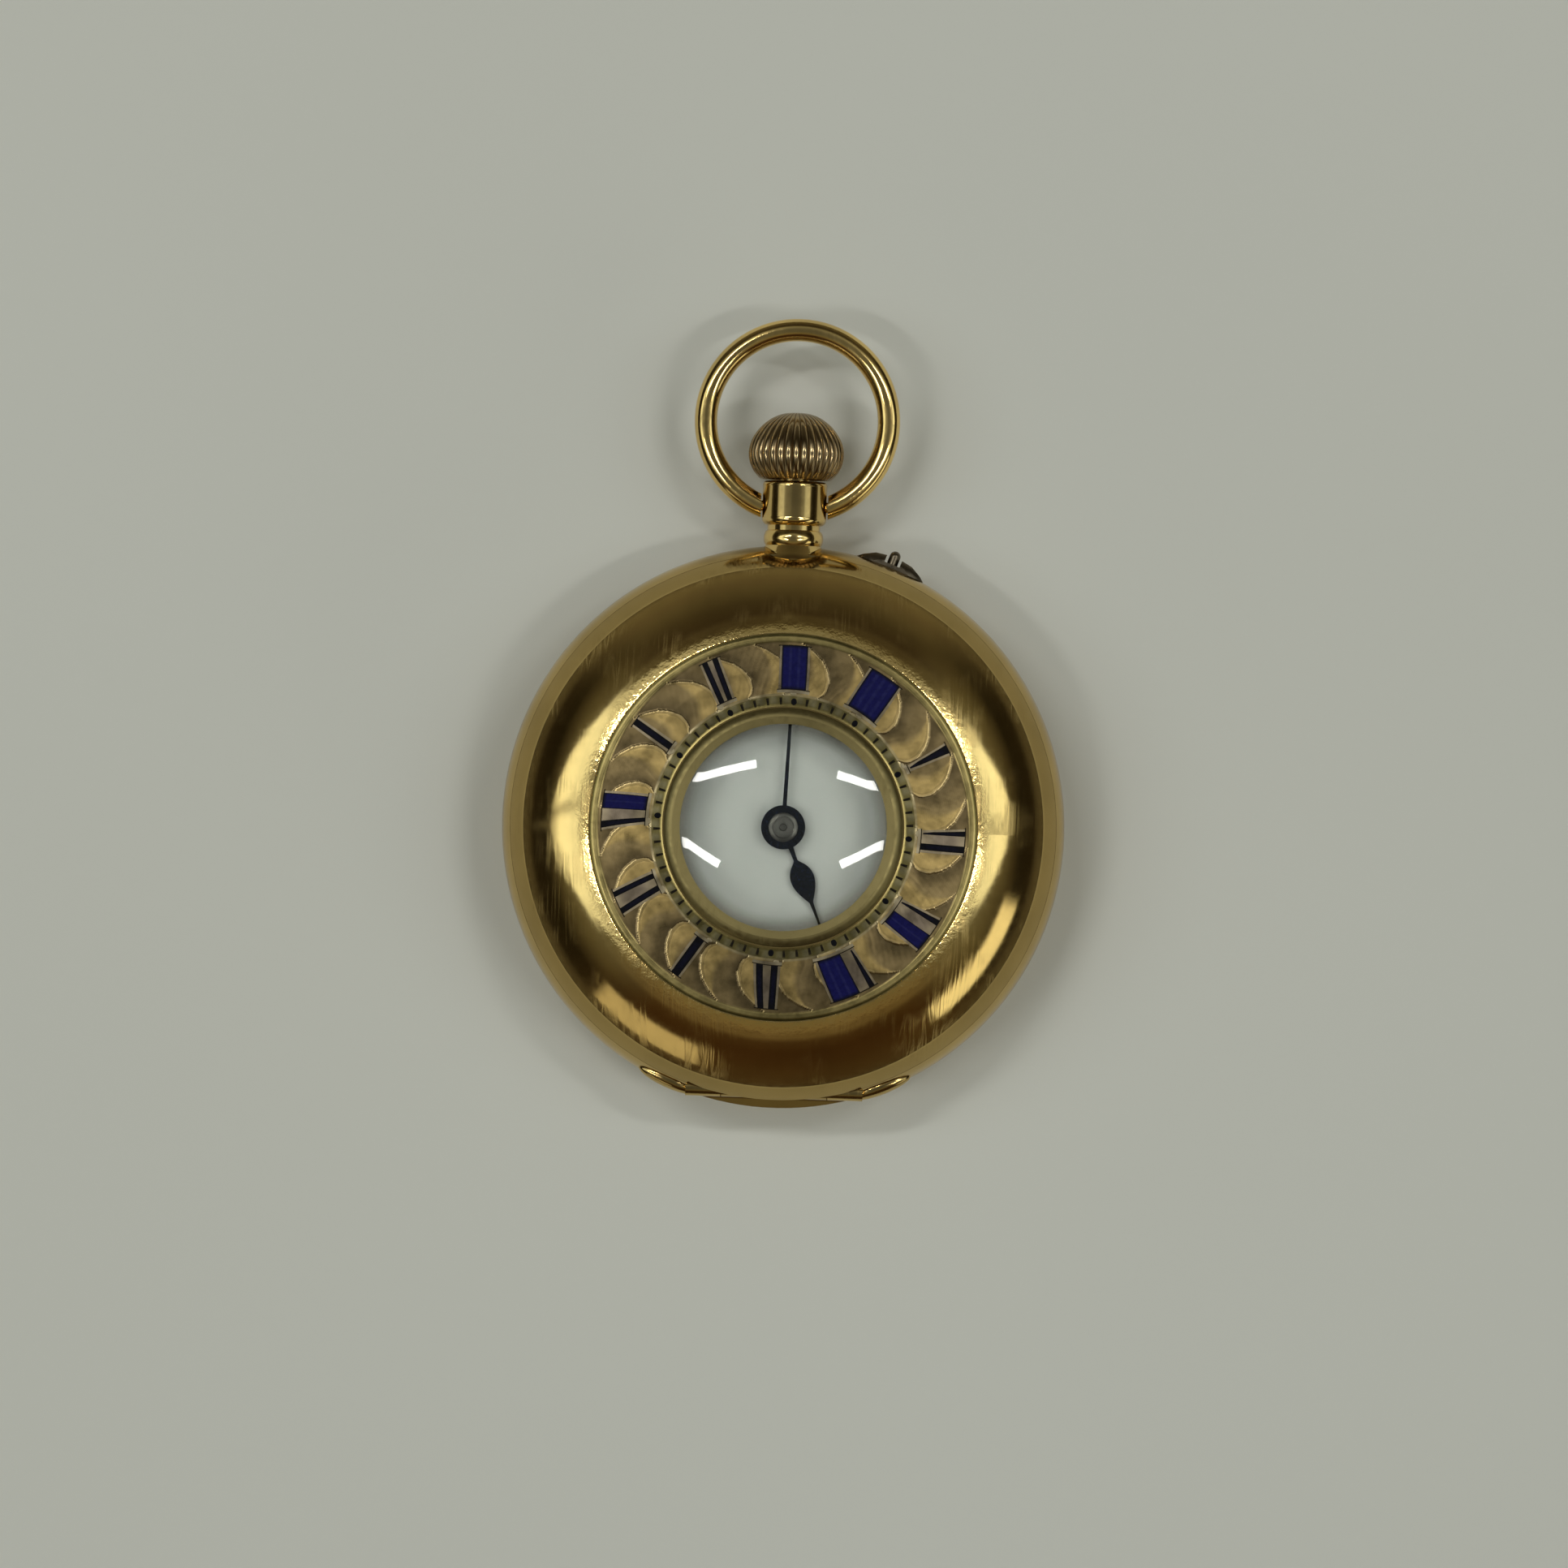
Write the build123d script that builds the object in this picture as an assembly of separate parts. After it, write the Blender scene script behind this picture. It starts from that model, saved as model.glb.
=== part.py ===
import os
from math import acos, asin, atan2, ceil, cos, degrees, floor, pi, radians, sin, sqrt

from build123d import *

# Half hunter pocket watch in millimetres.
# X to the right, +Y to the pendant, +Z up through the dial.
# Origin: centre of the flat on the outside of the back cover, at z = 0.

# ---- driving dimensions ----
CASE_R = 17.5           # greatest radius of the case band
SEAM_R = 16.2           # radius of the band at both seams
CAVITY_R = 15.4         # hollow of the band behind the movement plate
COVER_R = 16.1          # radius of the back cover, and of the dome of the front cover
RIM_R = 16.93           # lower edge of the front cover, over the shoulder of the band
COVER_T = 0.45          # sheet of the covers
BACK_FLAT_R = 10.6      # flat of the back that rests on the table
Z_BACK = 2.90           # upper edge of the back cover
Z_BAND0 = 2.95          # lower seam of the band
Z_BAND1 = 6.55          # upper seam of the band
Z_BAND_MID = 4.75       # height of the widest part of the band
Z_FRONT = 6.60          # lower edge of the front cover
RING_OUT_R = 12.0       # outer border of the chapter ring in the lid
RING_IN_R = 7.45        # inner border of the chapter ring
WINDOW_R = 6.35         # clear window of the lid
Z_LID_LEDGE = 9.75      # seat of the chapter ring
Z_TOP = 11.2            # crest of the small glass
DIAL_R = 13.5
DIAL_T = 0.5
Z_DIAL = 6.45           # back of the dial
PLATE_R = 13.9
Z_PLATE0, Z_PLATE1 = 5.1, 6.2
Z_BRIDGE0, Z_BRIDGE1 = 2.4, 3.2
BRIDGE_R = 13.6
STEM_Z = 4.65           # height of the winding stem
STEM_R = 0.42
PENDANT_R = 2.0
BOW_R = 5.70            # mean radius of the bow ring
BOW_WIRE_R = 0.70
BOW_CY = 25.25          # centre of the bow ring
CROWN_R = 3.0
CROWN_Y0, CROWN_Y1 = 21.62, 25.8
PRESS = 0.7             # travel of the crown when it opens the lid
HINGE_Y = -16.35
HINGE_LEN = 11.0        # the five knuckles of a cover joint
TUBE_R = 0.5
HINGE_PIN_R = 0.25
Z_HINGE_F = 6.05        # joint of the front cover, sunk in the shoulder of the band
Z_HINGE_B = 3.45        # joint of the back cover, the same from below
CUV_HINGE_Y = -15.0     # dust cover joint
CUV_HINGE_Z = 2.95
CUV_TUBE_R = 0.36
SET_ANGLE = 20.5        # degrees from the pendant to the hand-setting pin
GAP = 0.05

# ---- movement layout (x, y) ----
O = (0.0, 0.0)
BARREL = (-5.85, 3.375)
THIRD = (4.74, 1.72)
FOURTH = (6.78, -1.81)
ESCAPE = (5.1, -4.71)
PALLET = (2.75, -5.56)
BALANCE = (0.03, -6.56)
CROWN_WHEEL = (0.0, 8.536)
MINUTE_W = (0.0, 2.6)
SETTING_W = (0.0, 6.11)
YOKE_PIVOT = (9.0, 8.0)


def cyl(r, z0, z1, at=(0, 0)):
    return Pos(at[0], at[1], (z0 + z1) / 2) * Cylinder(r, z1 - z0)


def box(x0, x1, y0, y1, z0, z1):
    return Pos((x0 + x1) / 2, (y0 + y1) / 2, (z0 + z1) / 2) * Box(x1 - x0, y1 - y0, z1 - z0)


def tube(ro, ri, z0, z1, at=(0, 0)):
    return cyl(ro, z0, z1, at) - cyl(ri, z0 - 1, z1 + 1, at)


def prism(points, z0, z1):
    # straight prism over a closed polygon
    face = make_face(Polyline(*[(x, y, z0) for x, y in points], close=True))
    return extrude(face, amount=z1 - z0, dir=(0, 0, 1))


def turned(path):
    # path of (r, z) points; an item of two points is an arc (through, end)
    edges = []
    here = path[0]
    for item in path[1:] + [path[0]]:
        if isinstance(item[0], tuple):
            mid, end = item
            edges.append(ThreePointArc((here[0], 0, here[1]), (mid[0], 0, mid[1]), (end[0], 0, end[1])))
            here = end
        else:
            if abs(item[0] - here[0]) + abs(item[1] - here[1]) > 1e-9:
                edges.append(Line((here[0], 0, here[1]), (item[0], 0, item[1])))
            here = item
    return revolve(make_face(Wire(edges)), Axis.Z, 360)


def along_y(shape, y=0.0, z=STEM_Z):
    # a shape turned about Z is laid with its axis along +Y at height z
    return Pos(0, y, z) * Rot(-90, 0, 0) * shape


def along_x(r, x0, x1, y, z):
    return Pos((x0 + x1) / 2, y, z) * Rot(0, 90, 0) * Cylinder(r, x1 - x0)


def toothed(n, pitch_r, tip, root, width, phase, at=(0, 0), rake=0.0):
    # outline of a flat-flanked toothed wheel; width is the tooth share of the pitch
    pts = []
    step = 2 * pi / n
    for k in range(n):
        a = phase + k * step
        half = width * step / 2
        for r, off in ((root, -half * 1.25), (tip, -half * 0.6 + rake * step), (tip, half * 0.6 + rake * step), (root, half * 1.25)):
            pts.append((at[0] + r * cos(a + off), at[1] + r * sin(a + off)))
    return pts


def gear(n, m, z0, z1, at, phase=0.0, add=0.75, ded=1.0, width=0.44):
    rp = n * m / 2
    return prism(toothed(n, rp, rp + add * m, rp - ded * m, width, phase, at), z0, z1)


def mesh_phase(phase1, n1, at1, n2, at2):
    a = atan2(at2[1] - at1[1], at2[0] - at1[0])
    f = ((a - phase1) * n1 / (2 * pi)) % 1.0
    return a + pi - (0.5 - f) * 2 * pi / n2


def spokes(count, r_in, r_out, arm, z0, z1, at, turn=0.0):
    # the openings between the arms of a crossed-out wheel
    cut = tube(r_out, r_in, z0 - 0.2, z1 + 0.2, at)
    for k in range(count):
        a = turn + k * 360 / count
        bar = Pos(at[0], at[1], (z0 + z1) / 2) * Rot(0, 0, a) * Pos((r_in + r_out) / 2, 0, 0) * Box(r_out + r_in, arm, z1 - z0 + 2)
        cut = cut - bar
    return cut


def one(shape):
    solids = shape.solids()
    return solids[0] if len(solids) == 1 else Compound(children=list(solids))


os.makedirs("parts", exist_ok=True)


def save(shape, name):
    export_step(one(shape), f"parts/{name}.step")


# ---- five-knuckle joints of the covers ----
K = HINGE_LEN / 5
EDGES = [-HINGE_LEN / 2 + i * K for i in range(6)]


def knuckle(i, z, r=TUBE_R, play=0.03):
    return along_x(r, EDGES[i] + (play if i else 0), EDGES[i + 1] - (play if i < 4 else 0), HINGE_Y, z)


def clear(i, z, r=TUBE_R + 0.06, play=0.02):
    return along_x(r, EDGES[i] - play, EDGES[i + 1] + play, HINGE_Y, z)


# ---- case band ----
def outline(grow=0.0):
    # round of the band: a short arc below its widest part, a longer one above
    return [
        (SEAM_R + grow, Z_BAND0), ((17.141 + grow, 3.64), (CASE_R + grow, Z_BAND_MID)),
        ((17.359 + grow, 5.691), (RIM_R + 0.02 + grow, Z_BAND1)),
    ]


band = turned([
    (13.6, Z_PLATE1 + 0.02), (14.0, Z_PLATE1 + 0.02), (14.0, Z_PLATE0), (CAVITY_R, Z_PLATE0), (CAVITY_R, Z_BAND0),
] + outline() + [(13.6, Z_BAND1)])
# seats of the two cover joints: the tube lies in the shoulder, with a sloping facet outside it
def shoulder(grow):
    # round of the band, a little larger
    return turned([(15.0, Z_BAND_MID - 1.9 - grow), (15.6, Z_BAND_MID - 1.9 - grow), ((CASE_R + grow, Z_BAND_MID), (15.6, Z_BAND_MID + 1.9 + grow)), (15.0, Z_BAND_MID + 1.9 + grow)])


def facet(s):
    # wedge outside the tube; s = 1 on the dial side, where the rim of the cover turns in under it, -1 on the back
    if s > 0:
        pts = [(-16.35, 6.13), (-16.60, 5.38), (-16.95, 5.24), (-17.50, 5.08), (-18.3, 4.95), (-18.3, 7.5), (-16.35, 7.5)]
    else:
        pts = [(-16.35, 6.13), (-16.85, 5.70), (-17.45, 5.16), (-18.3, 4.9), (-18.3, 7.5), (-16.35, 7.5)]
    m = Z_BAND_MID
    face = Polyline(*[(0, y, m + s * (z - m)) for y, z in pts], close=True)
    w = extrude(make_face(face), amount=HINGE_LEN / 2 + 0.05, dir=(1, 0, 0), both=True)
    return w


def swing_room(i, s):
    # room for the web of a cover's knuckle
    z0, z1 = Z_HINGE_F - 0.08, 7.4
    if s < 0:
        z0, z1 = 2 * Z_BAND_MID - z1, 2 * Z_BAND_MID - z0
    return box(EDGES[i] - 0.02, EDGES[i + 1] + 0.02, -18.4, -15.2 if s > 0 else -15.62, z0, z1)


for zc, s in ((Z_HINGE_F, 1), (Z_HINGE_B, -1)):
    band -= facet(s)
    for sx in (-1, 1):
        ear = scale(Sphere(1.0), by=(2.0, 0.52, 0.62))
        band += Rot(0, 0, sx * 22.5) * Pos(0, -17.22, Z_BAND_MID + s * 0.95) * ear
    for i in (0, 2, 4):
        band += knuckle(i, zc)
    for i in (1, 3):
        band -= clear(i, zc)
        band -= swing_room(i, s)
    band -= along_x(HINGE_PIN_R + 0.03, -5.4, 5.4, HINGE_Y, zc)
# dust cover knuckles inside the band
CE = [-2.5, -0.85, 0.85, 2.5]
for i in (0, 2):
    band += along_x(CUV_TUBE_R, CE[i] + (0.03 if i else 0), CE[i + 1] - (0.03 if i == 0 else 0), CUV_HINGE_Y, CUV_HINGE_Z)
    band += box(CE[i] + (0.03 if i else 0), CE[i + 1] - (0.03 if i == 0 else 0), -15.6, CUV_HINGE_Y, CUV_HINGE_Z + 0.02, CUV_HINGE_Z + 0.5)
band -= along_x(CUV_TUBE_R + 0.06, CE[1] - 0.0, CE[2] + 0.0, CUV_HINGE_Y, CUV_HINGE_Z)
band -= along_x(0.17, -4, 4, CUV_HINGE_Y, CUV_HINGE_Z)
# passage of the stem and sleeve through the band
band -= along_y(Cylinder(1.0, 8), 16.5)
# passage of the hand-setting pin
UX, UY = sin(radians(SET_ANGLE)), cos(radians(SET_ANGLE))


def radial(shape, dist, angle=SET_ANGLE, z=STEM_Z):
    # shape built along +Z is laid along the radius at the angle from the pendant
    return Rot(0, 0, -angle) * Pos(0, dist, z) * Rot(-90, 0, 0) * shape


band -= radial(Cylinder(0.40, 6), 16.0)
# slots for the fingers of the lock spring and the lift spring
band -= box(-1.15, 1.15, 14.78, 15.62, Z_BAND0 - 0.5, Z_BAND1 + 0.5)
band -= Rot(0, 0, 30) * box(-0.6, 0.6, -15.56, -15.03, Z_BAND0 - 0.5, Z_BAND1 + 0.5)
# threaded seats of the two case screws
CASE_SCREWS = [(13.15 * cos(radians(a)), 13.15 * sin(radians(a))) for a in (208, -72)]
# thumb notch under the edge of the back cover
band -= Rot(0, 0, 25) * Pos(16.9, 0, Z_BAND0) * Box(1.1, 2.6, 0.5)
save(band, "case_middle")

# ---- pendant: neck, bead, narrow step and socket of the bow ----
pendant = along_y(turned([
    (1.02, 17.0), (2.05, 17.0), ((1.86, 17.3), (1.74, 17.5)), ((1.86, 17.95), (1.74, 18.4)), (1.64, 18.45),
    (1.64, 18.75), ((1.95, 18.95), (PENDANT_R, 19.25)), (PENDANT_R, 21.2), ((1.95, 21.42), (1.7, 21.5)), (1.02, 21.5),
]))
# the foot follows the round of the band and meets it without a gap
foot = along_y(turned([(1.02, 16.3), (2.35, 16.3), ((2.2, 16.8), (2.05, 17.05)), (1.02, 17.05)]))
pendant = pendant + foot
BOW_Y = BOW_CY - sqrt(BOW_R ** 2 - 2.08 ** 2)
pendant -= along_x(0.38, -3, 3, BOW_Y, STEM_Z)
# its foot lies on the band and reaches into the notch of the front cover
pendant -= turned([(0, -1), (SEAM_R + 0.01, -1)] + outline(0.01) + [(SEAM_R + 0.08, Z_BAND1 + 0.01), (SEAM_R + 0.08, 12), (0, 12)])
save(pendant, "pendant")

# ---- bow: round wire ring with two pivots ----
bow = Pos(0, BOW_CY, STEM_Z) * Torus(BOW_R, BOW_WIRE_R)
bow -= box(-2.08, 2.08, BOW_CY - 8, BOW_CY - 4, 0, 10)
for s in (-1, 1):
    a, b = sorted((s * 1.35, s * 2.5))
    bow += along_x(0.34, a, b, BOW_Y, STEM_Z)
save(bow, "bow")

# ---- winding crown: flattened onion with flutes ----
mid_y = 23.3
crown = turned([
    (0.0, CROWN_Y0), (2.26, CROWN_Y0), ((2.56, 22.04), (2.8, 22.5)), ((CROWN_R, mid_y), (2.78, 24.15)),
    ((1.75, 25.35), (0.0, CROWN_Y1)),
])
star = prism(toothed(34, 2.9, CROWN_R + 0.02, 2.76, 0.5, 0), CROWN_Y0 - 1, CROWN_Y1 + 1)
crown = crown & star
crown -= cyl(STEM_R + 0.02, CROWN_Y0 - 1, 23.5)
crown -= cyl(2.1, CROWN_Y0 - 1, 22.33)
save(along_y(crown), "crown")
# stem fixed in the crown; its square carries the sliding pinion
stem = along_y(cyl(STEM_R, 10.25, 23.48)) + along_y(prism([(0.29, 0.29), (-0.29, 0.29), (-0.29, -0.29), (0.29, -0.29)], 8.0, 10.25))
save(stem, "winding_stem")
# sleeve that the crown pushes in; it slides in the pendant and works the lock spring
sleeve = along_y(turned([(0.5, 15.95), (0.94, 15.95), (0.94, 22.28), (0.5, 22.28)]))
save(sleeve, "push_sleeve")

# ---- hand-setting pin and its olive-shaped guard ----
set_pin = radial(Cylinder(0.34, 18.2 - 12.75), (18.2 + 12.75) / 2) + radial(Sphere(0.34), 18.2)
save(set_pin, "set_pin")
wing = [(-2.3, 17.30), (-1.9, 17.62), (-1.2, 18.0), (-0.55, 18.1), (0.55, 18.1), (1.2, 18.0), (1.9, 17.62), (2.3, 17.30), (1.2, 16.9), (-1.2, 16.9)]
guard = Rot(0, 0, -SET_ANGLE) * prism(wing, STEM_Z - 0.75, STEM_Z + 0.75)
guard = guard & (Rot(0, 0, -SET_ANGLE) * Pos(0, 17.2, STEM_Z) * scale(Sphere(1.0), by=(2.3, 1.1, 0.9)))
guard -= Rot(0, 0, -SET_ANGLE) * box(-0.5, 0.5, 17.66, 19, STEM_Z - 2, STEM_Z + 2)
guard -= radial(Cylinder(0.40, 6), 16.5)
guard -= turned([(0, -1), (SEAM_R + 0.01, -1)] + outline(0.01) + [(RIM_R + 0.03, 12), (0, 12)])
save(guard, "set_pin_guard")

def dished(radius, z_top, z_edge, t):
    # watch glass: a spherical cap of even thickness
    sag = z_top - z_edge
    big = (radius ** 2 + sag ** 2) / (2 * sag)
    glass = cyl(radius, z_edge - t, z_top + 1) & (Pos(0, 0, z_top - big) * Sphere(big))
    return glass - Pos(0, 0, z_top - big - t) * Sphere(big)


# ---- front cover with its window, chapter ring and bezel ----
DOME_MID = (14.21, 9.07)
lid = turned([
    (COVER_R - COVER_T, Z_FRONT), (RIM_R, Z_FRONT), ((16.539, 7.14), (COVER_R, 7.63)), (DOME_MID, (RING_OUT_R, 9.95)),
    (RING_OUT_R, Z_LID_LEDGE), (6.5, Z_LID_LEDGE), (6.5, Z_LID_LEDGE - 0.35), (RING_OUT_R - 0.15, Z_LID_LEDGE - 0.35),
    ((13.98, 8.63), (COVER_R - COVER_T, 7.2)),
])
# catch plate under the hook of the lock spring
lid += box(-1.0, 1.0, 15.5, 15.75, Z_FRONT, Z_FRONT + 0.10)
# notch over the foot of the pendant
lid -= along_y(cyl(2.43, 16.2, 18.0))
# the cover's two knuckles hang under its rim by webs
for i in (1, 3):
    lid += box(EDGES[i] + 0.03, EDGES[i + 1] - 0.03, HINGE_Y, -15.75, Z_HINGE_F, 6.66)
    lid += knuckle(i, Z_HINGE_F)
lid -= along_x(HINGE_PIN_R + 0.03, -9, 9, HINGE_Y, Z_HINGE_F)
save(lid, "front_cover")
ring = turned([
    (RING_IN_R, Z_LID_LEDGE + GAP), (RING_OUT_R - 0.06, Z_LID_LEDGE + GAP), (RING_OUT_R - 0.06, 9.93),
    ((9.8, 10.08), (RING_IN_R, 10.16)),
])
save(ring, "chapter_ring")
wbez = turned([
    (7.38, Z_LID_LEDGE + GAP), (7.38, 10.22), ((7.12, 10.43), (6.85, 10.5)), (6.38, 10.44), (6.38, 10.28), (6.80, 10.28), (6.80, Z_LID_LEDGE + GAP),
])
save(wbez, "window_bezel")
wglass = dished(6.74, Z_TOP, 10.14, 0.33)
save(wglass, "window_glass")

# ---- inner bezel and the large glass over the dial ----
ibez = turned([
    (13.66, Z_BAND1 + GAP), (15.0, Z_BAND1 + GAP), (15.0, 7.2), ((14.3, 7.75), (13.5, 8.0)), (13.05, 7.98),
    (13.05, 7.86), (13.36, 7.86), (13.36, 7.3), (12.9, 7.3), (12.9, 7.02), (13.66, 7.02),
])
# room for the head of the lock spring when the crown pushes it inwards
ibez -= box(-1.3, 1.3, 14.78, 15.4, 6.4, 7.0)
save(ibez, "inner_bezel")
mglass = dished(13.3, 8.65, 7.74, 0.38)
save(mglass, "main_glass")

# ---- dial with its feet, and the hands at a quarter past eight ----
FEET = [(10.8 * cos(radians(a)), 10.8 * sin(radians(a))) for a in (38, 218)]
dial = cyl(DIAL_R, Z_DIAL, Z_DIAL + DIAL_T) - cyl(0.85, Z_DIAL - 1, Z_DIAL + 1)
for f in FEET:
    dial += cyl(0.4, 5.7, Z_DIAL + 0.1, f)
save(dial, "dial")
HOUR_DIR, MINUTE_DIR = 90 - 157.5, 90 - 1.9


def pointed(points, z0, z1, heading):
    # symmetric hand along +X given as (distance, half width), turned to its heading
    up = [(x, w) for x, w in points]
    down = [(x, -w) for x, w in reversed(points) if w > 1e-6]
    return Rot(0, 0, heading) * prism(up + down, z0, z1)


# spade hour hand: thin stem, pear-shaped body, thin point
pear = [(-0.6, 0.3), (1.1, 0.17), (2.2, 0.12)]
pear += [(2.3 + 2.6 * t, 0.12 + 0.62 * sin(pi * t ** 0.8) ** 0.9) for t in [i / 20 for i in range(1, 20)]]
pear += [(4.95, 0.12), (5.3, 0.10), (7.5, 0.03)]
hour = pointed(pear, 7.2, 7.32, HOUR_DIR) + cyl(1.2, 7.2, 7.36)
hour -= cyl(0.77, 7, 8)
save(hour, "hour_hand")
minute = pointed([(-0.6, 0.2), (1.2, 0.13), (6.0, 0.10), (11.2, 0.05)], 7.6, 7.72, MINUTE_DIR) + cyl(1.36, 7.6, 7.74) + cyl(0.90, 7.6, 7.95)
minute -= cyl(0.47, 7.5, 7.9)
save(minute, "minute_hand")

# ---- motion work on the dial side of the plate ----
PH_CAN = pi / 2
cannon = gear(10, 0.13, 5.6, 5.95, O, PH_CAN) + cyl(0.45, 5.6, 7.86)
cannon -= cyl(0.27, 5.5, 7.80)
save(cannon, "cannon_pinion")
PH_MIN = mesh_phase(PH_CAN, 10, O, 30, MINUTE_W)
PH_MINP = 0.1
minute_wheel = gear(30, 0.13, 5.64, 5.8, MINUTE_W, PH_MIN) + gear(8, 0.13, 5.8, 6.2, MINUTE_W, PH_MINP) - cyl(0.2, 5, 7, MINUTE_W)
save(minute_wheel, "minute_wheel")
PH_HR = mesh_phase(PH_MINP, 8, MINUTE_W, 32, O)
hour_wheel = gear(32, 0.13, 6.0, 6.14, O, PH_HR) + cyl(0.75, 6.0, 7.34) - cyl(0.48, 5, 8)
save(hour_wheel, "hour_wheel")
PH_SET = mesh_phase(PH_MIN, 30, MINUTE_W, 24, SETTING_W)
setting = gear(24, 0.13, 5.64, 5.8, SETTING_W, PH_SET) - cyl(0.3, 5, 7, SETTING_W)
save(setting, "setting_wheel")

# ---- main plate ----
plate = cyl(PLATE_R, Z_PLATE0, Z_PLATE1)
sink = cyl(2.45, 5.55, 6.5, O) + cyl(2.3, 5.55, 6.5, MINUTE_W) + cyl(1.85, 5.55, 6.5, SETTING_W)
plate -= sink
plate += cyl(0.28, 5.5, 5.82, SETTING_W) + cyl(0.18, 5.5, 6.15, MINUTE_W)
plate -= box(-1.3, 1.3, 7.6, 11.35, 5, 7)
plate -= box(-1.75, 1.75, 10.3, 11.35, 5, 7)
plate -= along_y(cyl(0.5, 11, 15))
plate -= cyl(0.42, 5, 6, O)
for at, r in ((THIRD, 0.16), (FOURTH, 0.16), (ESCAPE, 0.13), (PALLET, 0.13), (BALANCE, 0.13)):
    plate -= cyl(r, Z_PLATE0 - 0.1, 5.5, at)
plate -= cyl(0.92, Z_PLATE0 - 0.1, 6.02, BARREL)
plate -= cyl(6.3, Z_PLATE0 - 0.1, 5.14, BARREL)
plate -= cyl(0.72, Z_PLATE0 - 0.1, 5.55, BALANCE)
for f in FEET:
    plate -= cyl(0.45, 5.0, 7, f)
for c in CASE_SCREWS:
    plate -= cyl(0.40, 5.0, 5.9, c)
plate += cyl(0.3, 4.3, 5.15, YOKE_PIVOT)
save(plate, "main_plate")
FEET_B = [(-12.3, -2.0, 0.9), (-7.1, 10.4, 0.7), (-2.9, 11.6, 0.8)]
FEET_T = [(12.2, 2.0, 0.9), (9.5, -8.2, 0.9), (6.0, 6.6, 0.7)]
FEET_C = [(-6.6, -10.9, 0.9)]

# ---- bridges ----
disc = cyl(BRIDGE_R, Z_BRIDGE0, Z_BRIDGE1)


def bridge(outline, feet):
    b = disc & prism(outline, 2, 4)
    for x, y, r in feet:
        b += cyl(r, Z_BRIDGE1 - 0.05, Z_PLATE0 - 0.02, (x, y))
    for x, y, r in feet:
        b -= cyl(0.32, 2.3, 4.6, (x, y))
        b -= cyl(0.62, 2.3, 2.62, (x, y))
    return b


barrel_bridge = bridge([(3.5, 14), (3.5, 5.5), (0.0, 1.6), (-3.0, -3.2), (-5.8, -4.4), (-14, -4.9), (-14, 14)], FEET_B)
barrel_bridge -= cyl(0.92, 2, 4, BARREL)
ring_cut = tube(2.75, 1.75, 2.3, 3.0, CROWN_WHEEL)
barrel_bridge -= ring_cut
barrel_bridge -= box(-1.78, 1.78, 10.3, 11.32, 2.9, 3.4)
barrel_bridge += cyl(0.93, 1.98, 2.45, CROWN_WHEEL)
barrel_bridge -= cyl(0.42, 1.9, 3.4, CROWN_WHEEL)
CLICK = (-8.6, -3.0)
barrel_bridge -= cyl(0.32, 2.3, 3.3, CLICK)
save(barrel_bridge, "barrel_bridge")
train_bridge = bridge([(3.85, 14), (3.85, 5.35), (0.35, 1.35), (-1.35, -1.3), (1.0, -4.0), (5.0, -10.0), (9.6, -12.4), (14, -12.4), (14, 14)], FEET_T)
train_bridge -= cyl(4.85, 2, 4, BALANCE)
JEWEL = 0.55
for at in (O, THIRD, FOURTH, ESCAPE):
    train_bridge -= cyl(JEWEL, 2, 4, at)
save(train_bridge, "train_bridge")
cock_arm = prism([(-0.9, -5.2), (1.4, -5.9), (0.2, -8.2), (-3.2, -10.9), (-5.2, -13.0), (-9.3, -10.4), (-8.4, -8.9), (-5.0, -8.6)], Z_BRIDGE0, Z_BRIDGE1)
cock = (cock_arm + cyl(1.7, Z_BRIDGE0, Z_BRIDGE1, BALANCE)) & disc
for x, y, r in FEET_C:
    cock += cyl(r, Z_BRIDGE1 - 0.05, Z_PLATE0 - 0.02, (x, y))
cock -= cyl(0.32, 2.3, 4.6, FEET_C[0][:2])
cock -= cyl(0.62, 2.3, 2.62, FEET_C[0][:2])
cock -= cyl(JEWEL, 2, 4, BALANCE)
save(cock, "balance_cock")
pallet_cock = prism([(2.3, -5.2), (3.0, -5.0), (4.6, -7.4), (4.0, -8.3), (3.2, -7.9)], 4.42, 4.6) + cyl(0.5, 4.42, Z_PLATE0 - 0.02, (3.95, -7.7))
pallet_cock += cyl(0.45, 4.42, 4.6, PALLET)
pallet_cock -= cyl(0.13, 4, 4.7, PALLET)
save(pallet_cock, "pallet_cock")

# ---- train wheels; each turns with its pinion on one arbor ----


def arbor(at, top_r, body_r, low_r, z_top, z_low):
    return cyl(top_r, z_top, 3.26, at) + cyl(body_r, 3.25, 5.05, at) + cyl(low_r, 5.04, z_low, at)


def crossed(n, m, z0, z1, at, phase, rim, hub, count, arm, turn=0.0):
    rp = n * m / 2
    return gear(n, m, z0, z1, at, phase) - spokes(count, hub, rp - rim, arm, z0, z1, at, turn)


PH_BAR = 0.0
PH_CP = mesh_phase(PH_BAR, 80, BARREL, 10, O)
center = crossed(64, 0.14, 3.4, 3.6, O, 0.0, 0.6, 0.75, 5, 0.5)
center += gear(10, 0.15, 4.45, 5.03, O, PH_CP, 0.6, 0.9)
center += cyl(0.18, 2.55, 3.26, O) + cyl(0.38, 3.25, 5.5, O) + cyl(0.25, 5.5, 7.76, O)
save(center, "center_wheel")
PH_TP = mesh_phase(0.0, 64, O, 8, THIRD)
third = crossed(60, 0.12, 4.6, 4.8, THIRD, 0.0, 0.5, 0.6, 5, 0.4, 20) + gear(8, 0.14, 3.3, 3.75, THIRD, PH_TP, 0.6, 0.9)
third += arbor(THIRD, 0.10, 0.22, 0.13, 2.55, 5.45)
save(third, "third_wheel")
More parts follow.
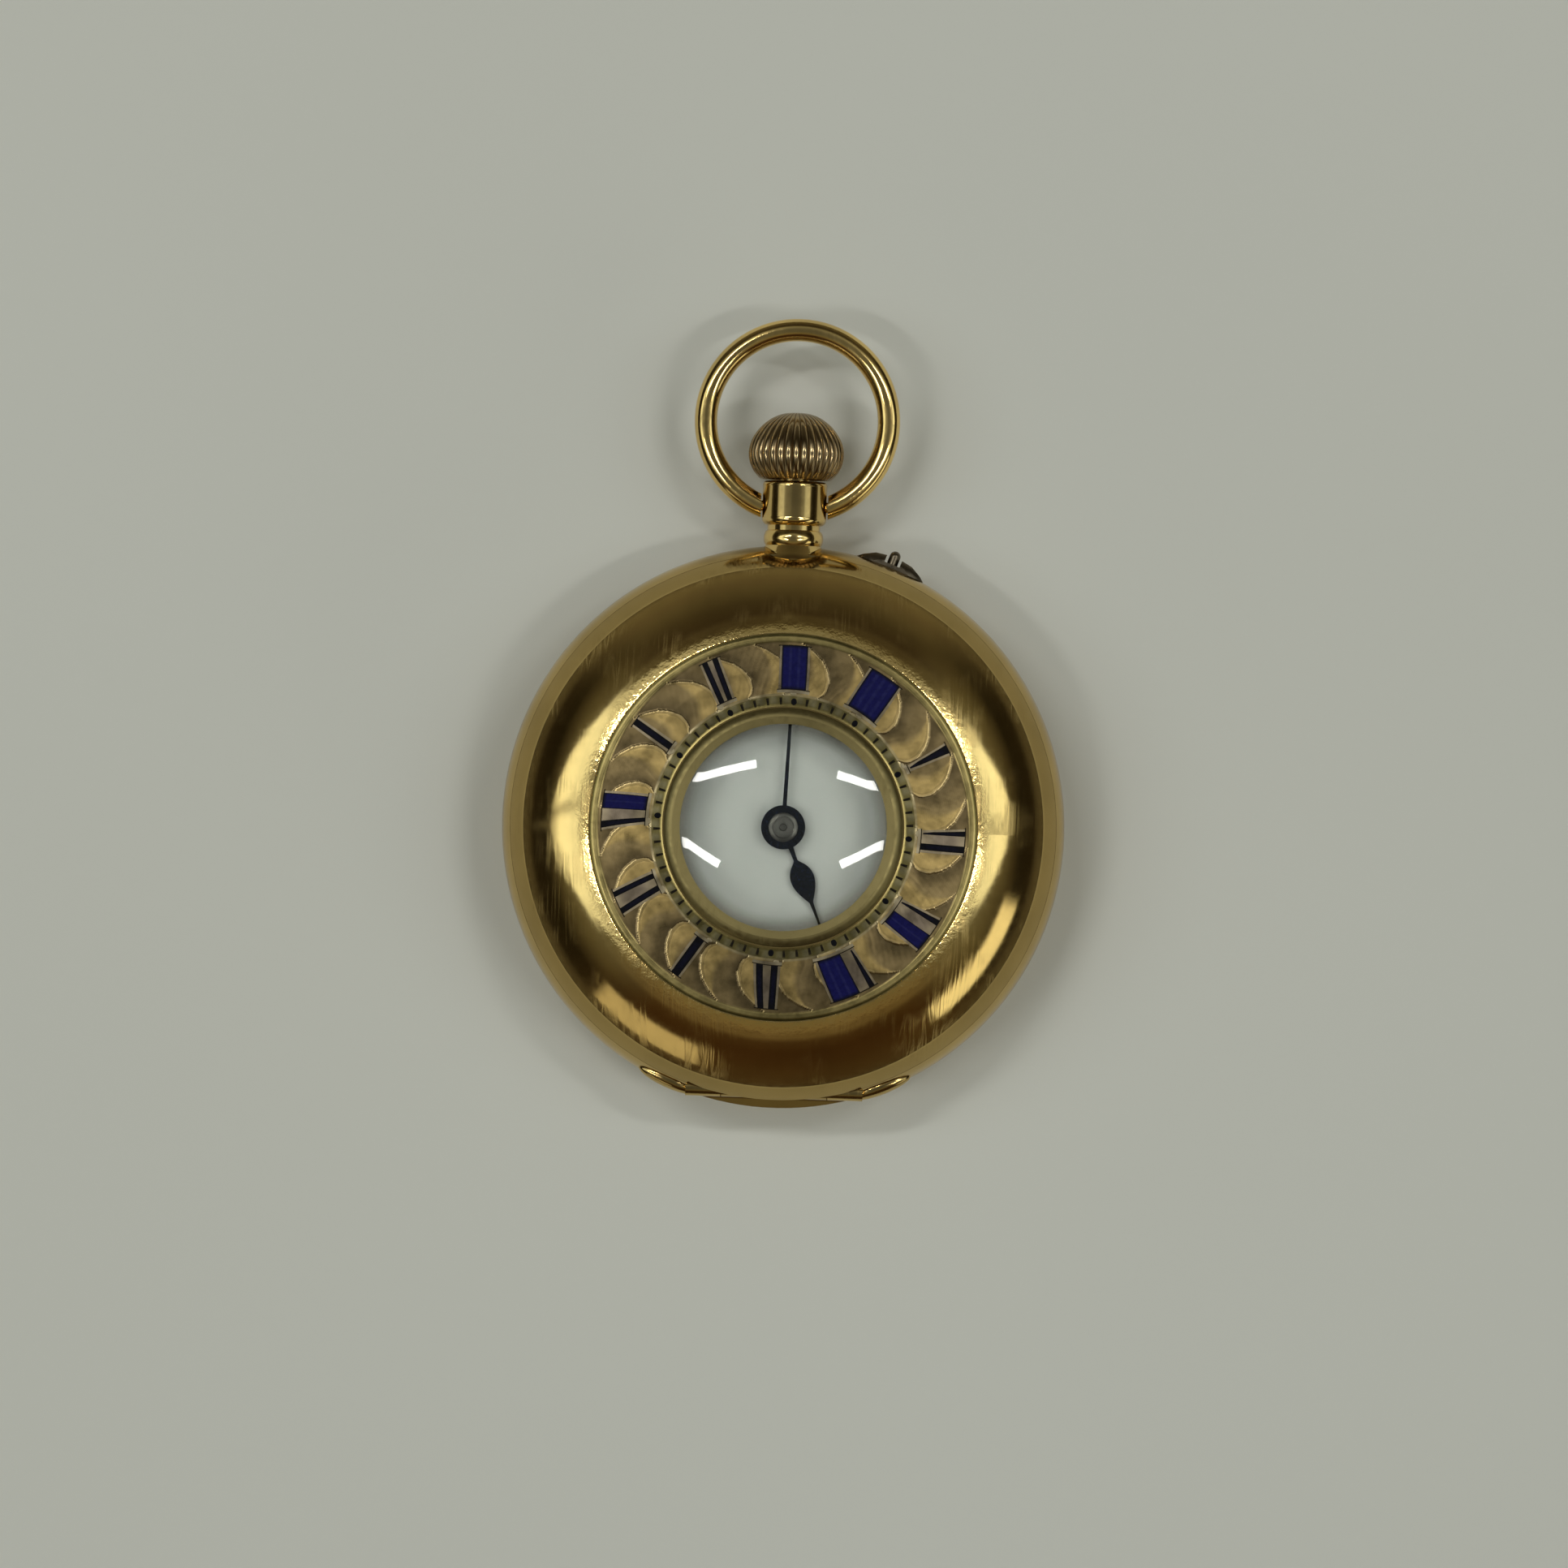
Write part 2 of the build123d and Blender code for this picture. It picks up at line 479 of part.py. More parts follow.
PH_FP = mesh_phase(0.0, 60, THIRD, 8, FOURTH)
fourth = crossed(60, 0.10, 3.9, 4.1, FOURTH, 0.0, 0.42, 0.55, 5, 0.35, 50) + gear(8, 0.12, 4.45, 4.95, FOURTH, PH_FP, 0.6, 0.9)
fourth += arbor(FOURTH, 0.10, 0.22, 0.13, 2.55, 5.45)
save(fourth, "fourth_wheel")
PH_EP = mesh_phase(0.0, 60, FOURTH, 7, ESCAPE)
escape = prism(toothed(15, 2.0, 2.2, 1.72, 0.2, radians(199.9) + radians(12), ESCAPE, 0.22), 4.65, 4.85)
escape -= spokes(4, 0.5, 1.4, 0.3, 4.65, 4.85, ESCAPE)
escape += gear(7, 0.10, 3.75, 4.25, ESCAPE, PH_EP, 0.6, 0.9) + arbor(ESCAPE, 0.09, 0.18, 0.10, 2.55, 5.4)
save(escape, "escape_wheel")

# ---- lever with its two pallets and the fork ----
DX, DY = (BALANCE[0] - PALLET[0]) / 2.9, (BALANCE[1] - PALLET[1]) / 2.9


def lever_pt(s, t):
    return (PALLET[0] + s * DX - t * DY, PALLET[1] + s * DY + t * DX)


fork = prism([lever_pt(s, t) for s, t in [
    (-0.3, 0.35), (0.4, 0.22), (1.9, 0.12), (2.15, 0.28), (2.5, 0.28), (2.5, 0.12), (2.28, 0.12),
    (2.28, -0.12), (2.5, -0.12), (2.5, -0.28), (2.15, -0.28), (1.9, -0.12), (0.4, -0.22), (-0.3, -0.35)]], 4.66, 4.86)
for (px, py) in ((3.60, -6.48), (2.83, -4.27)):
    ax, ay = px - PALLET[0], py - PALLET[1]
    ln = sqrt(ax * ax + ay * ay)
    nx, ny = -ay / ln * 0.17, ax / ln * 0.17
    fork += prism([(PALLET[0] + nx, PALLET[1] + ny), (px + nx, py + ny), (px - nx, py - ny), (PALLET[0] - nx, PALLET[1] - ny)], 4.66, 4.86)
fork += cyl(0.4, 4.66, 4.86, PALLET)
fork += cyl(0.1, 4.44, 5.4, PALLET)
save(fork, "pallet_fork")

# ---- balance ----
balance = tube(4.12, 3.7, 3.78, 4.3, BALANCE) + (Pos(BALANCE[0], BALANCE[1], 4.0) * Rot(0, 0, 35) * Box(7.6, 0.55, 0.2)) + cyl(0.7, 3.85, 4.15, BALANCE)
for k in range(14):
    if k % 7 == 3:
        continue
    balance += Pos(BALANCE[0], BALANCE[1], 4.04) * Rot(0, 0, k * 360 / 14) * Pos(4.25, 0, 0) * Rot(0, 90, 0) * Cylinder(0.17, 0.34)
balance -= cyl(0.22, 3, 5, BALANCE)
save(balance, "balance_wheel")
staff = cyl(0.09, 2.58, 3.26, BALANCE) + cyl(0.18, 3.25, 5.06, BALANCE) + cyl(0.10, 5.05, 5.42, BALANCE)
staff += cyl(0.42, 3.36, 3.6, BALANCE) + cyl(0.42, 4.2, 4.38, BALANCE) + cyl(0.66, 4.92, 5.05, BALANCE)
staff += cyl(0.07, 4.6, 4.94, (BALANCE[0] - 0.5 * DX, BALANCE[1] - 0.5 * DY))
staff -= tube(0.9, 0.42, 4.15, 4.4, BALANCE)
save(staff, "balance_staff")


def spiral(r0, r1, turns, t, z0, z1, at, start=0.0, per=22):
    n = int(turns * per)
    outer, inner = [], []
    for i in range(n + 1):
        a = start + 2 * pi * turns * i / n
        r = r0 + (r1 - r0) * i / n
        outer.append((at[0] + (r + t / 2) * cos(a), at[1] + (r + t / 2) * sin(a)))
        inner.append((at[0] + (r - t / 2) * cos(a), at[1] + (r - t / 2) * sin(a)))
    return prism(outer + inner[::-1], z0, z1)


STUD_A = radians(228)
hair = spiral(0.47, 1.85, 7.0, 0.06, 3.42, 3.54, BALANCE, STUD_A)
hair += cyl(0.22, 3.25, 3.6, (BALANCE[0] + 1.9 * cos(STUD_A), BALANCE[1] + 1.9 * sin(STUD_A)))
save(hair, "hairspring")
index = tube(1.3, 0.86, 2.05, 2.3, BALANCE)
index += Pos(*BALANCE, 2.175) * Rot(0, 0, 75) * (Pos(1.6, 0, 0) * Box(0.9, 0.36, 0.25))
index += Pos(*BALANCE, 0) * Rot(0, 0, 75) * cyl(0.08, 2.1, 3.52, (1.95, 0))
index += Pos(*BALANCE, 0) * Rot(0, 0, 228) * prism([(1.1, 0.2), (4.2, 0.09), (4.2, -0.09), (1.1, -0.2)], 2.05, 2.3)
save(index, "regulator_index")

# ---- barrel with the mainspring, ratchet and click ----
drum = prism(toothed(80, 6.0, 6.11, 5.85, 0.44, PH_BAR, BARREL), 4.55, 4.95) + cyl(5.65, 3.9, 5.05, BARREL)
drum -= cyl(5.42, 3.8, 4.9, BARREL)
drum -= cyl(0.92, 4, 6, BARREL)
save(drum, "barrel_drum")
save(tube(5.38, 0.92, 3.86, 4.0, BARREL), "barrel_lid")
b_arbor = cyl(0.88, 2.46, 5.96, BARREL) + cyl(1.25, 4.06, 4.84, BARREL) + (Pos(*BARREL, 2.22) * Box(1.1, 1.1, 0.5))
b_arbor -= cyl(0.33, 1.5, 3.5, BARREL)
save(b_arbor, "barrel_arbor")
save(spiral(1.42, 5.25, 9.0, 0.16, 4.08, 4.84, BARREL, 0.4, 26), "mainspring")
PH_CW = mesh_phase(0.0, 50, BARREL, 28, CROWN_WHEEL)
ratchet = gear(50, 0.2, 2.0, 2.35, BARREL, 0.0) - (Pos(*BARREL, 2.2) * Box(1.16, 1.16, 1.0))
save(ratchet, "ratchet_wheel")


def screw(at, head_r, z0, z1, shank_r, z2, slot=0.16, turn=30.0):
    s = cyl(head_r, z0, z1, at) + cyl(shank_r, z1 - 0.01, z2, at)
    return s - Pos(at[0], at[1], z0) * Rot(0, 0, turn) * Box(2.4 * head_r, slot, 0.24)


save(screw(BARREL, 1.5, 1.62, 1.93, 0.3, 3.4, 0.26, 20), "ratchet_screw")
crown_wheel = gear(28, 0.2, 2.0, 2.35, CROWN_WHEEL, PH_CW) + tube(2.62, 1.88, 2.3, 2.75, CROWN_WHEEL)
crown_wheel += prism(toothed(28, 2.2, 2.62, 1.4, 0.4, 0, CROWN_WHEEL), 2.74, 2.94) - cyl(1.88, 2, 4, CROWN_WHEEL)
crown_wheel -= cyl(0.97, 1, 4, CROWN_WHEEL)
save(crown_wheel, "crown_wheel")
save(screw(CROWN_WHEEL, 1.45, 1.62, 1.94, 0.38, 3.3, 0.26, 75), "crown_wheel_screw")
click = prism([(-8.9, -2.3), (-8.0, -2.28), (-4.62, -1.76), (-4.56, -1.95), (-6.2, -2.95), (-8.2, -3.7), (-9.1, -3.6)], 2.05, 2.35) + cyl(0.8, 2.05, 2.35, CLICK)
click -= cyl(0.33, 1.9, 2.5, CLICK)
save(click, "click")
c_spring = prism([(-11.6, -3.5), (-11.2, -3.2), (-10.7, -3.5), (-8.5, -4.12), (-6.45, -3.33), (-6.3, -3.2), (-6.25, -3.32), (-6.45, -3.47), (-8.5, -4.26), (-11.2, -3.95)], 2.08, 2.34)
save(c_spring, "click_spring")

# ---- keyless work ----
w_pin = along_y(prism(toothed(16, 1.5, 1.62, 1.32, 0.42, 0), 10.42, 11.2) - cyl(0.46, 9, 12))
save(w_pin, "winding_pinion")
s_pin = cyl(0.8, 8.45, 10.2) + prism(toothed(14, 1.1, 1.2, 0.98, 0.42, 0), 9.7, 10.2) + prism(toothed(14, 1.1, 1.2, 0.98, 0.42, 0), 8.45, 9.1)
s_pin -= Pos(0, 0, 9.5) * Box(0.64, 0.64, 4)
s_pin -= cyl(STEM_R + 0.04, 9.5, 11)
save(along_y(s_pin), "sliding_pinion")
yoke = prism([(9.35, 8.6), (5.6, 11.25), (4.90, 11.70), (3.98, 12.05), (3.5, 11.3), (2.5, 9.85), (0.9, 9.55), (0.9, 9.22), (2.8, 9.25), (4.3, 10.55), (8.6, 7.4)], 4.5, 4.8)
yoke += cyl(0.72, 4.5, 4.8, YOKE_PIVOT)
yoke -= cyl(0.34, 4, 5, YOKE_PIVOT)
save(yoke, "yoke")
y_spring = prism([(2.2, 7.0), (3.0, 7.0), (3.0, 7.9), (4.85, 9.95), (4.75, 10.05), (2.75, 8.0), (2.2, 7.9)], 4.5, 4.7) + prism([(2.2, 7.0), (3.0, 7.0), (3.0, 7.8), (2.2, 7.8)], 4.5, 5.08)
save(y_spring, "yoke_spring")

# ---- case springs ----


def sector(ro, ri, z0, z1, a0, a1):
    n = 24
    pts = [(ro * cos(radians(a0 + (a1 - a0) * i / n)), ro * sin(radians(a0 + (a1 - a0) * i / n))) for i in range(n + 1)]
    pts += [(ri * cos(radians(a1 - (a1 - a0) * i / n)), ri * sin(radians(a1 - (a1 - a0) * i / n))) for i in range(n + 1)]
    return prism(pts, z0, z1)


lock = sector(15.3, 14.9, 3.45, 4.9, 86, 133) + sector(15.33, 14.4, 3.45, 4.9, 133, 139)
lock += box(-0.9, 0.9, 15.15, 15.48, 3.45, 6.9) + box(-0.9, 0.9, 15.4, 15.6, 6.72, 6.9)
lock -= along_y(cyl(0.58, 13, 17))
# the foot turns on a rivet
lock -= cyl(0.2, 3, 5, (-10.72, 10.35))
save(lock, "lock_spring")
lift = sector(15.3, 14.9, 3.45, 4.9, -63, -20) + sector(15.33, 14.4, 3.45, 4.9, -20, -14)
lift += Rot(0, 0, 30) * box(-0.5, 0.5, -15.5, -15.15, 3.45, 6.9)
save(lift, "lift_spring")

# ---- screws and jewels ----
screws = [screw((x, y), 0.56, 2.33, 2.58, 0.28, 4.4, 0.14, 40 * i) for i, (x, y, r) in enumerate(FEET_B + FEET_T + FEET_C)]
screws.append(screw(CLICK, 0.62, 1.75, 2.02, 0.28, 3.1, 0.14, 10))
save(Compound(children=[s.solids()[0] for s in screws]), "bridge_screws")
case_screws = [screw(c, 1.0, 4.76, 5.06, 0.36, 5.8, 0.2, 15 + 60 * i) for i, c in enumerate(CASE_SCREWS)]
save(Compound(children=[s.solids()[0] for s in case_screws]), "case_screws")
stones = [tube(0.53, 0.21, 2.5, 2.95, O), tube(0.53, 0.13, 2.5, 2.95, THIRD), tube(0.53, 0.13, 2.5, 2.95, FOURTH), tube(0.53, 0.12, 2.5, 2.95, ESCAPE), tube(0.53, 0.12, 2.62, 3.0, BALANCE), cyl(0.78, 2.12, 2.38, BALANCE)]
save(Compound(children=[s.solids()[0] for s in stones]), "jewels")

# ---- dust cover ----
cuvette = turned([
    (0, 1.0), (10.9, 1.0), ((13.3, 1.62), (15.2, 2.5)), (15.2, 2.89), (14.8, 2.89), (14.8, 2.66), ((13.15, 1.93), (10.8, 1.3)), (0, 1.3),
])
cuvette -= box(-0.9, 0.9, -16, CUV_HINGE_Y, 1, 4)
cuvette -= along_x(CUV_TUBE_R + 0.07, CE[0] - 0.05, CE[3] + 0.05, CUV_HINGE_Y, CUV_HINGE_Z)
cuvette += box(CE[1] + 0.04, CE[2] - 0.04, CUV_HINGE_Y, -14.4, 2.62, 2.88)
cuvette += along_x(CUV_TUBE_R, CE[1] + 0.04, CE[2] - 0.04, CUV_HINGE_Y, CUV_HINGE_Z)
cuvette -= along_x(0.17, -4, 4, CUV_HINGE_Y, CUV_HINGE_Z)
save(cuvette, "dust_cover")

# ---- back cover ----
back = turned([
    (0, 0), (BACK_FLAT_R, 0), ((13.57, 0.70), (COVER_R, 2.4)), (COVER_R, Z_BACK), (COVER_R - COVER_T, Z_BACK),
    (COVER_R - COVER_T, 2.45), ((13.35, 1.18), (BACK_FLAT_R - 0.1, COVER_T)), (0, COVER_T),
])
for i in (1, 3):
    web = box(EDGES[i] + 0.03, EDGES[i + 1] - 0.03, HINGE_Y, -15.68, 2.7, Z_HINGE_B) & shoulder(0.05)
    back += web
    back += knuckle(i, Z_HINGE_B)
back -= along_x(HINGE_PIN_R + 0.03, -9, 9, HINGE_Y, Z_HINGE_B)
save(back, "back_cover")
save(along_x(HINGE_PIN_R, -5.3, 5.3, HINGE_Y, Z_HINGE_F), "front_hinge_pin")
save(along_x(HINGE_PIN_R, -5.3, 5.3, HINGE_Y, Z_HINGE_B), "back_hinge_pin")
save(along_x(0.15, -2.45, 2.45, CUV_HINGE_Y, CUV_HINGE_Z), "dust_cover_hinge_pin")
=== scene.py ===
import math
import random

import bpy
import bmesh
from mathutils import Matrix, Vector

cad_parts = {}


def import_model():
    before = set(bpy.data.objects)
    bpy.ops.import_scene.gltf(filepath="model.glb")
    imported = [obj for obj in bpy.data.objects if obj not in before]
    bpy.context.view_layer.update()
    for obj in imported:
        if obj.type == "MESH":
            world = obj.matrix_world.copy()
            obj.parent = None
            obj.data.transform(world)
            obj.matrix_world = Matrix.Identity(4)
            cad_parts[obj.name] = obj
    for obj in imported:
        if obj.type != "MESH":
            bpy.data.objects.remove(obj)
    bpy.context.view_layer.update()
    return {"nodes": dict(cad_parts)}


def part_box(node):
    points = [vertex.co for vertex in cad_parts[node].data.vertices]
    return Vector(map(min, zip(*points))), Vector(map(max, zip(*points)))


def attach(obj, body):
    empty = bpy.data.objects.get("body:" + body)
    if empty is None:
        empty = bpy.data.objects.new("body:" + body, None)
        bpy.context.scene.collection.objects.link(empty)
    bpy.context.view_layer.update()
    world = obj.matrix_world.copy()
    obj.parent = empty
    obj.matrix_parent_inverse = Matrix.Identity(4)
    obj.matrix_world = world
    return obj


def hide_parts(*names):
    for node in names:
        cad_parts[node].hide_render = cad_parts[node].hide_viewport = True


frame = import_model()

MM = 0.001
NODES = frame["nodes"]
scene = bpy.context.scene
TAU = 2 * math.pi


# ------------------------------------------------------------------ helpers
def nt_of(mat):
    mat.use_nodes = True
    nt = mat.node_tree
    nt.nodes.clear()
    return nt


class G:
    """Small builder for a material's node graph."""

    def __init__(self, name):
        self.mat = bpy.data.materials.new(name)
        self.nt = nt_of(self.mat)
        self.out = self.nt.nodes.new("ShaderNodeOutputMaterial")
        self.p = self.nt.nodes.new("ShaderNodeBsdfPrincipled")
        self.nt.links.new(self.p.outputs[0], self.out.inputs[0])
        self.co = self.nt.nodes.new("ShaderNodeTexCoord").outputs["Object"]

    def node(self, kind, **props):
        n = self.nt.nodes.new(kind)
        for k, v in props.items():
            setattr(n, k, v)
        return n

    def put(self, socket, value):
        if isinstance(value, bpy.types.NodeSocket):
            self.nt.links.new(value, socket)
        elif value is not None:
            socket.default_value = value

    def math(self, op, a, b=None, c=None, clamp=False):
        n = self.node("ShaderNodeMath", operation=op, use_clamp=clamp)
        self.put(n.inputs[0], a)
        self.put(n.inputs[1], b)
        self.put(n.inputs[2], c)
        return n.outputs[0]

    def sep(self, v):
        n = self.node("ShaderNodeSeparateXYZ")
        self.put(n.inputs[0], v)
        return n.outputs

    def comb(self, x, y, z):
        n = self.node("ShaderNodeCombineXYZ")
        for i, v in enumerate((x, y, z)):
            self.put(n.inputs[i], v)
        return n.outputs[0]

    def mapped(self, scale=(1, 1, 1), rot=(0, 0, 0), loc=(0, 0, 0), v=None):
        n = self.node("ShaderNodeMapping")
        self.put(n.inputs["Vector"], v or self.co)
        n.inputs["Scale"].default_value = scale
        n.inputs["Rotation"].default_value = rot
        n.inputs["Location"].default_value = loc
        return n.outputs[0]

    def noise(self, scale, detail=3.0, rough=0.5, v=None, dist=0.0):
        n = self.node("ShaderNodeTexNoise")
        self.put(n.inputs["Vector"], v or self.co)
        n.inputs["Scale"].default_value = scale
        n.inputs["Detail"].default_value = detail
        n.inputs["Roughness"].default_value = rough
        n.inputs["Distortion"].default_value = dist
        return n.outputs["Fac"]

    def ramp(self, fac, stops, interp="LINEAR"):
        n = self.node("ShaderNodeValToRGB")
        n.color_ramp.interpolation = interp
        el = n.color_ramp.elements
        while len(el) > len(stops):
            el.remove(el[-1])
        while len(el) < len(stops):
            el.new(0.5)
        for e, (pos, col) in zip(el, stops):
            e.position = pos
            e.color = (*col, 1.0) if len(col) == 3 else col
        self.put(n.inputs[0], fac)
        return n.outputs[0]

    def maprange(self, v, a, b, c, d, smooth=False):
        n = self.node("ShaderNodeMapRange")
        if smooth:
            n.interpolation_type = "SMOOTHSTEP"
        self.put(n.inputs["Value"], v)
        for k, x in zip(("From Min", "From Max", "To Min", "To Max"), (a, b, c, d)):
            self.put(n.inputs[k], x)
        return n.outputs["Result"]

    def mix(self, fac, a, b, mode="MIX"):
        n = self.node("ShaderNodeMix", data_type="RGBA", blend_type=mode)
        self.put(n.inputs[0], fac)
        self.put(n.inputs[6], a if isinstance(a, bpy.types.NodeSocket) else (*a, 1.0))
        self.put(n.inputs[7], b if isinstance(b, bpy.types.NodeSocket) else (*b, 1.0))
        return n.outputs[2]

    def bump(self, height, strength=0.2, distance=0.00002, normal=None):
        n = self.node("ShaderNodeBump")
        n.inputs["Strength"].default_value = strength
        n.inputs["Distance"].default_value = distance
        self.put(n.inputs["Height"], height)
        self.put(n.inputs["Normal"], normal)
        return n.outputs[0]

    def set(self, **vals):
        for k, v in vals.items():
            self.put(self.p.inputs[k.replace("_", " ")], v if not (isinstance(v, tuple) and len(v) == 3) else (*v, 1.0))
        return self


def scratches(g, scale, seed, width=0.06):
    """Thin random hair scratches: two stretched noises, thresholded."""
    h = None
    for i, (rz, sx) in enumerate(((0.5, 1.0), (-0.7, 1.2), (1.9, 0.9))):
        v = g.mapped(scale=(scale * sx, scale * 0.035, scale * 0.2), rot=(0, 0, rz + seed), loc=(seed * 3.1, i * 7.7, 0))
        n = g.noise(1.0, 1.0, 0.4, v)
        line = g.math("SUBTRACT", 1.0, g.math("MULTIPLY", g.math("ABSOLUTE", g.math("SUBTRACT", n, 0.5)), 1.0 / width), clamp=True)
        h = line if h is None else g.math("MAXIMUM", h, line)
    return h


def gold(name, color=(0.93, 0.63, 0.22), rough=0.14, wear=0.5, seed=0.0, dark=0.75, belt=None, edge=None):
    g = G(name)
    big = g.noise(260.0, 3.0, 0.55, g.mapped(loc=(seed, seed * 2, 0)))
    fine = g.noise(2600.0, 4.0, 0.6)
    tone = g.ramp(big, [(0.30, tuple(c * dark for c in color)), (0.62, color)])
    x, y, z = g.sep(g.co)[:3]
    rad = g.math("MULTIPLY", g.math("SQRT", g.math("ADD", g.math("MULTIPLY", x, x), g.math("MULTIPLY", y, y))), 1000.0)
    if edge is not None:
        # painted shade: the colour is darkened beyond a radius (mm), over the lid's rim
        k = edge[2]
        tone = g.mix(g.maprange(rad, edge[0], edge[1], 0.0, 1.0, True), tone, g.mix(1.0, tone, (k, k * 0.98, k * 0.94), "MULTIPLY"))
    g.set(Base_Color=tone, Metallic=1.0)
    r = g.maprange(fine, 0.3, 0.75, rough * 0.8, rough * 1.35)
    scr = scratches(g, 1500.0, seed)
    mask = g.maprange(g.noise(330.0, 2.0), 0.45, 0.65, 0.0, 1.0, True)
    scr = g.math("MULTIPLY", scr, mask)
    g.put(g.p.inputs["Roughness"], g.math("ADD", r, g.math("MULTIPLY", scr, 0.12 * wear)))
    h = g.math("ADD", g.math("MULTIPLY", scr, -1.0), g.math("MULTIPLY", big, 2.2))
    normal = g.bump(h, 0.10 * wear, 0.00003)
    if belt is not None:
        # a worn belt between two radii (mm), full of small dents that glint
        inside = g.math("MULTIPLY", g.maprange(rad, belt[0] - 0.1, belt[0] + 0.1, 0.0, 1.0, True),
                        g.maprange(rad, belt[1] - 0.45, belt[1] + 0.35, 1.0, 0.0, True))
        up = g.maprange(z, 0.0088, 0.0092, 0.0, 1.0, True)
        inside = g.math("MULTIPLY", inside, up)
        dents = g.noise(1700.0, 3.0, 0.65)
        fine2 = g.noise(5200.0, 2.0, 0.6)
        dents = g.math("ADD", dents, g.math("MULTIPLY", fine2, 0.35))
        normal = g.bump(g.math("MULTIPLY", dents, inside), 0.45, 0.00005, normal)
    g.put(g.p.inputs["Normal"], normal)
    return g.mat


# ------------------------------------------------------------ camera, stage
IMAGE_PX = 1932
PX_MM = 19.8            # pixels per millimetre at the middle of the case
CAM_Z = 0.505
cam_data = bpy.data.cameras.new("camera")
cam = bpy.data.objects.new("camera", cam_data)
scene.collection.objects.link(cam)
scene.camera = cam
cam_data.sensor_width = 36.0
cam_data.lens = 36.0 * (CAM_Z - 4.8 * MM) / (IMAGE_PX / PX_MM * MM)
cam_data.clip_start = 0.02
cam_data.clip_end = 50.0
TURN = 0.0352           # the watch lies two degrees clockwise in the picture
shift_px = Vector((-(965 - 966), 1019 - 966))
off = Matrix.Rotation(TURN, 2) @ Vector((shift_px.x / PX_MM * MM, shift_px.y / PX_MM * MM))
cam.location = (off.x, off.y, CAM_Z)
cam.rotation_euler = (0.0, 0.0, TURN)


def mesh_object(name, bm, mat=None, smooth=True, angle=None):
    me = bpy.data.meshes.new(name)
    bm.normal_update()
    bm.to_mesh(me)
    bm.free()
    if smooth:
        for p in me.polygons:
            p.use_smooth = True
    o = bpy.data.objects.new(name, me)
    scene.collection.objects.link(o)
    if mat is not None:
        me.materials.append(mat)
    if angle is not None:
        sharpen(o, angle)
    return o


def sharpen(o, degrees):
    """Marks edges sharper than this angle, so smooth shading stops there."""
    bm = bmesh.new()
    bm.from_mesh(o.data)
    lim = math.radians(degrees)
    for e in bm.edges:
        if len(e.link_faces) == 2 and e.calc_face_angle(0.0) > lim:
            e.smooth = False
    bm.to_mesh(o.data)
    bm.free()


# the floor: a matt pale sheet of board, one wide flat plane
bm = bmesh.new()
S = 3.0
steps = 24
rows = []
for i in range(steps + 1):
    x = -S + 2 * S * i / steps
    rows.append([bm.verts.new((x, -S + 2 * S * j / steps, 0.0)) for j in range(steps + 1)])
for i in range(steps):
    for j in range(steps):
        bm.faces.new((rows[i][j], rows[i + 1][j], rows[i + 1][j + 1], rows[i][j + 1]))
g = G("floor_board")
n1 = g.noise(9.0, 2.0)
g.set(Base_Color=g.ramp(n1, [(0.3, (0.790, 0.802, 0.740)), (0.7, (0.820, 0.835, 0.775))]), Roughness=0.9)
g.p.inputs["Specular IOR Level"].default_value = 0.15
g.put(g.p.inputs["Normal"], g.bump(g.noise(900.0, 3.0), 0.08, 0.0002))
floor = mesh_object("floor", bm, g.mat)

scene.view_settings.view_transform = "Standard"
scene.view_settings.look = "None"
scene.view_settings.exposure = 0.0
scene.view_settings.gamma = 1.0


def area(name, loc, size, power, color=(1.0, 1.0, 1.0), aim=(0.0, 0.0, 0.005), spread=None, turn=0.0):
    d = bpy.data.lights.new(name, "AREA")
    d.shape = "RECTANGLE"
    d.size, d.size_y = size
    d.energy = power
    d.color = color
    if spread is not None:
        d.spread = spread
    o = bpy.data.objects.new(name, d)
    scene.collection.objects.link(o)
    o.location = loc
    direction = Vector(aim) - Vector(loc)
    q = direction.to_track_quat("-Z", "Y")
    o.rotation_euler = q.to_euler()
    if turn:
        o.rotation_euler = (q @ Matrix.Rotation(turn, 3, "Z").to_quaternion()).to_euler()
    return o


def ceiling(name, x0, x1, y0, y1, z, strength, color=(1.0, 1.0, 1.0)):
    """A flat lamp in the ceiling, facing straight down; strength is its radiance."""
    w, h = abs(x1 - x0), abs(y1 - y0)
    d = bpy.data.lights.new(name, "AREA")
    d.shape = "RECTANGLE"
    d.size, d.size_y = w, h
    d.energy = strength * w * h * math.pi
    d.color = color
    o = bpy.data.objects.new(name, d)
    scene.collection.objects.link(o)
    o.location = ((x0 + x1) / 2, (y0 + y1) / 2, z)
    return o


def tube(name, p0, p1, thick, z, strength, color=(1.0, 1.0, 1.0)):
    """A long thin ceiling lamp between two points, facing straight down."""
    a, b = (Matrix.Rotation(TURN, 2) @ Vector(p) for p in (p0, p1))
    d = bpy.data.lights.new(name, "AREA")
    d.shape = "RECTANGLE"
    d.size, d.size_y = (b - a).length, thick
    d.energy = strength * d.size * thick * math.pi
    d.color = color
    o = bpy.data.objects.new(name, d)
    scene.collection.objects.link(o)
    m = (a + b) / 2
    o.location = (m.x, m.y, z)
    o.rotation_euler = (0.0, 0.0, math.atan2(b.y - a.y, b.x - a.x))
    return o


H = 0.60
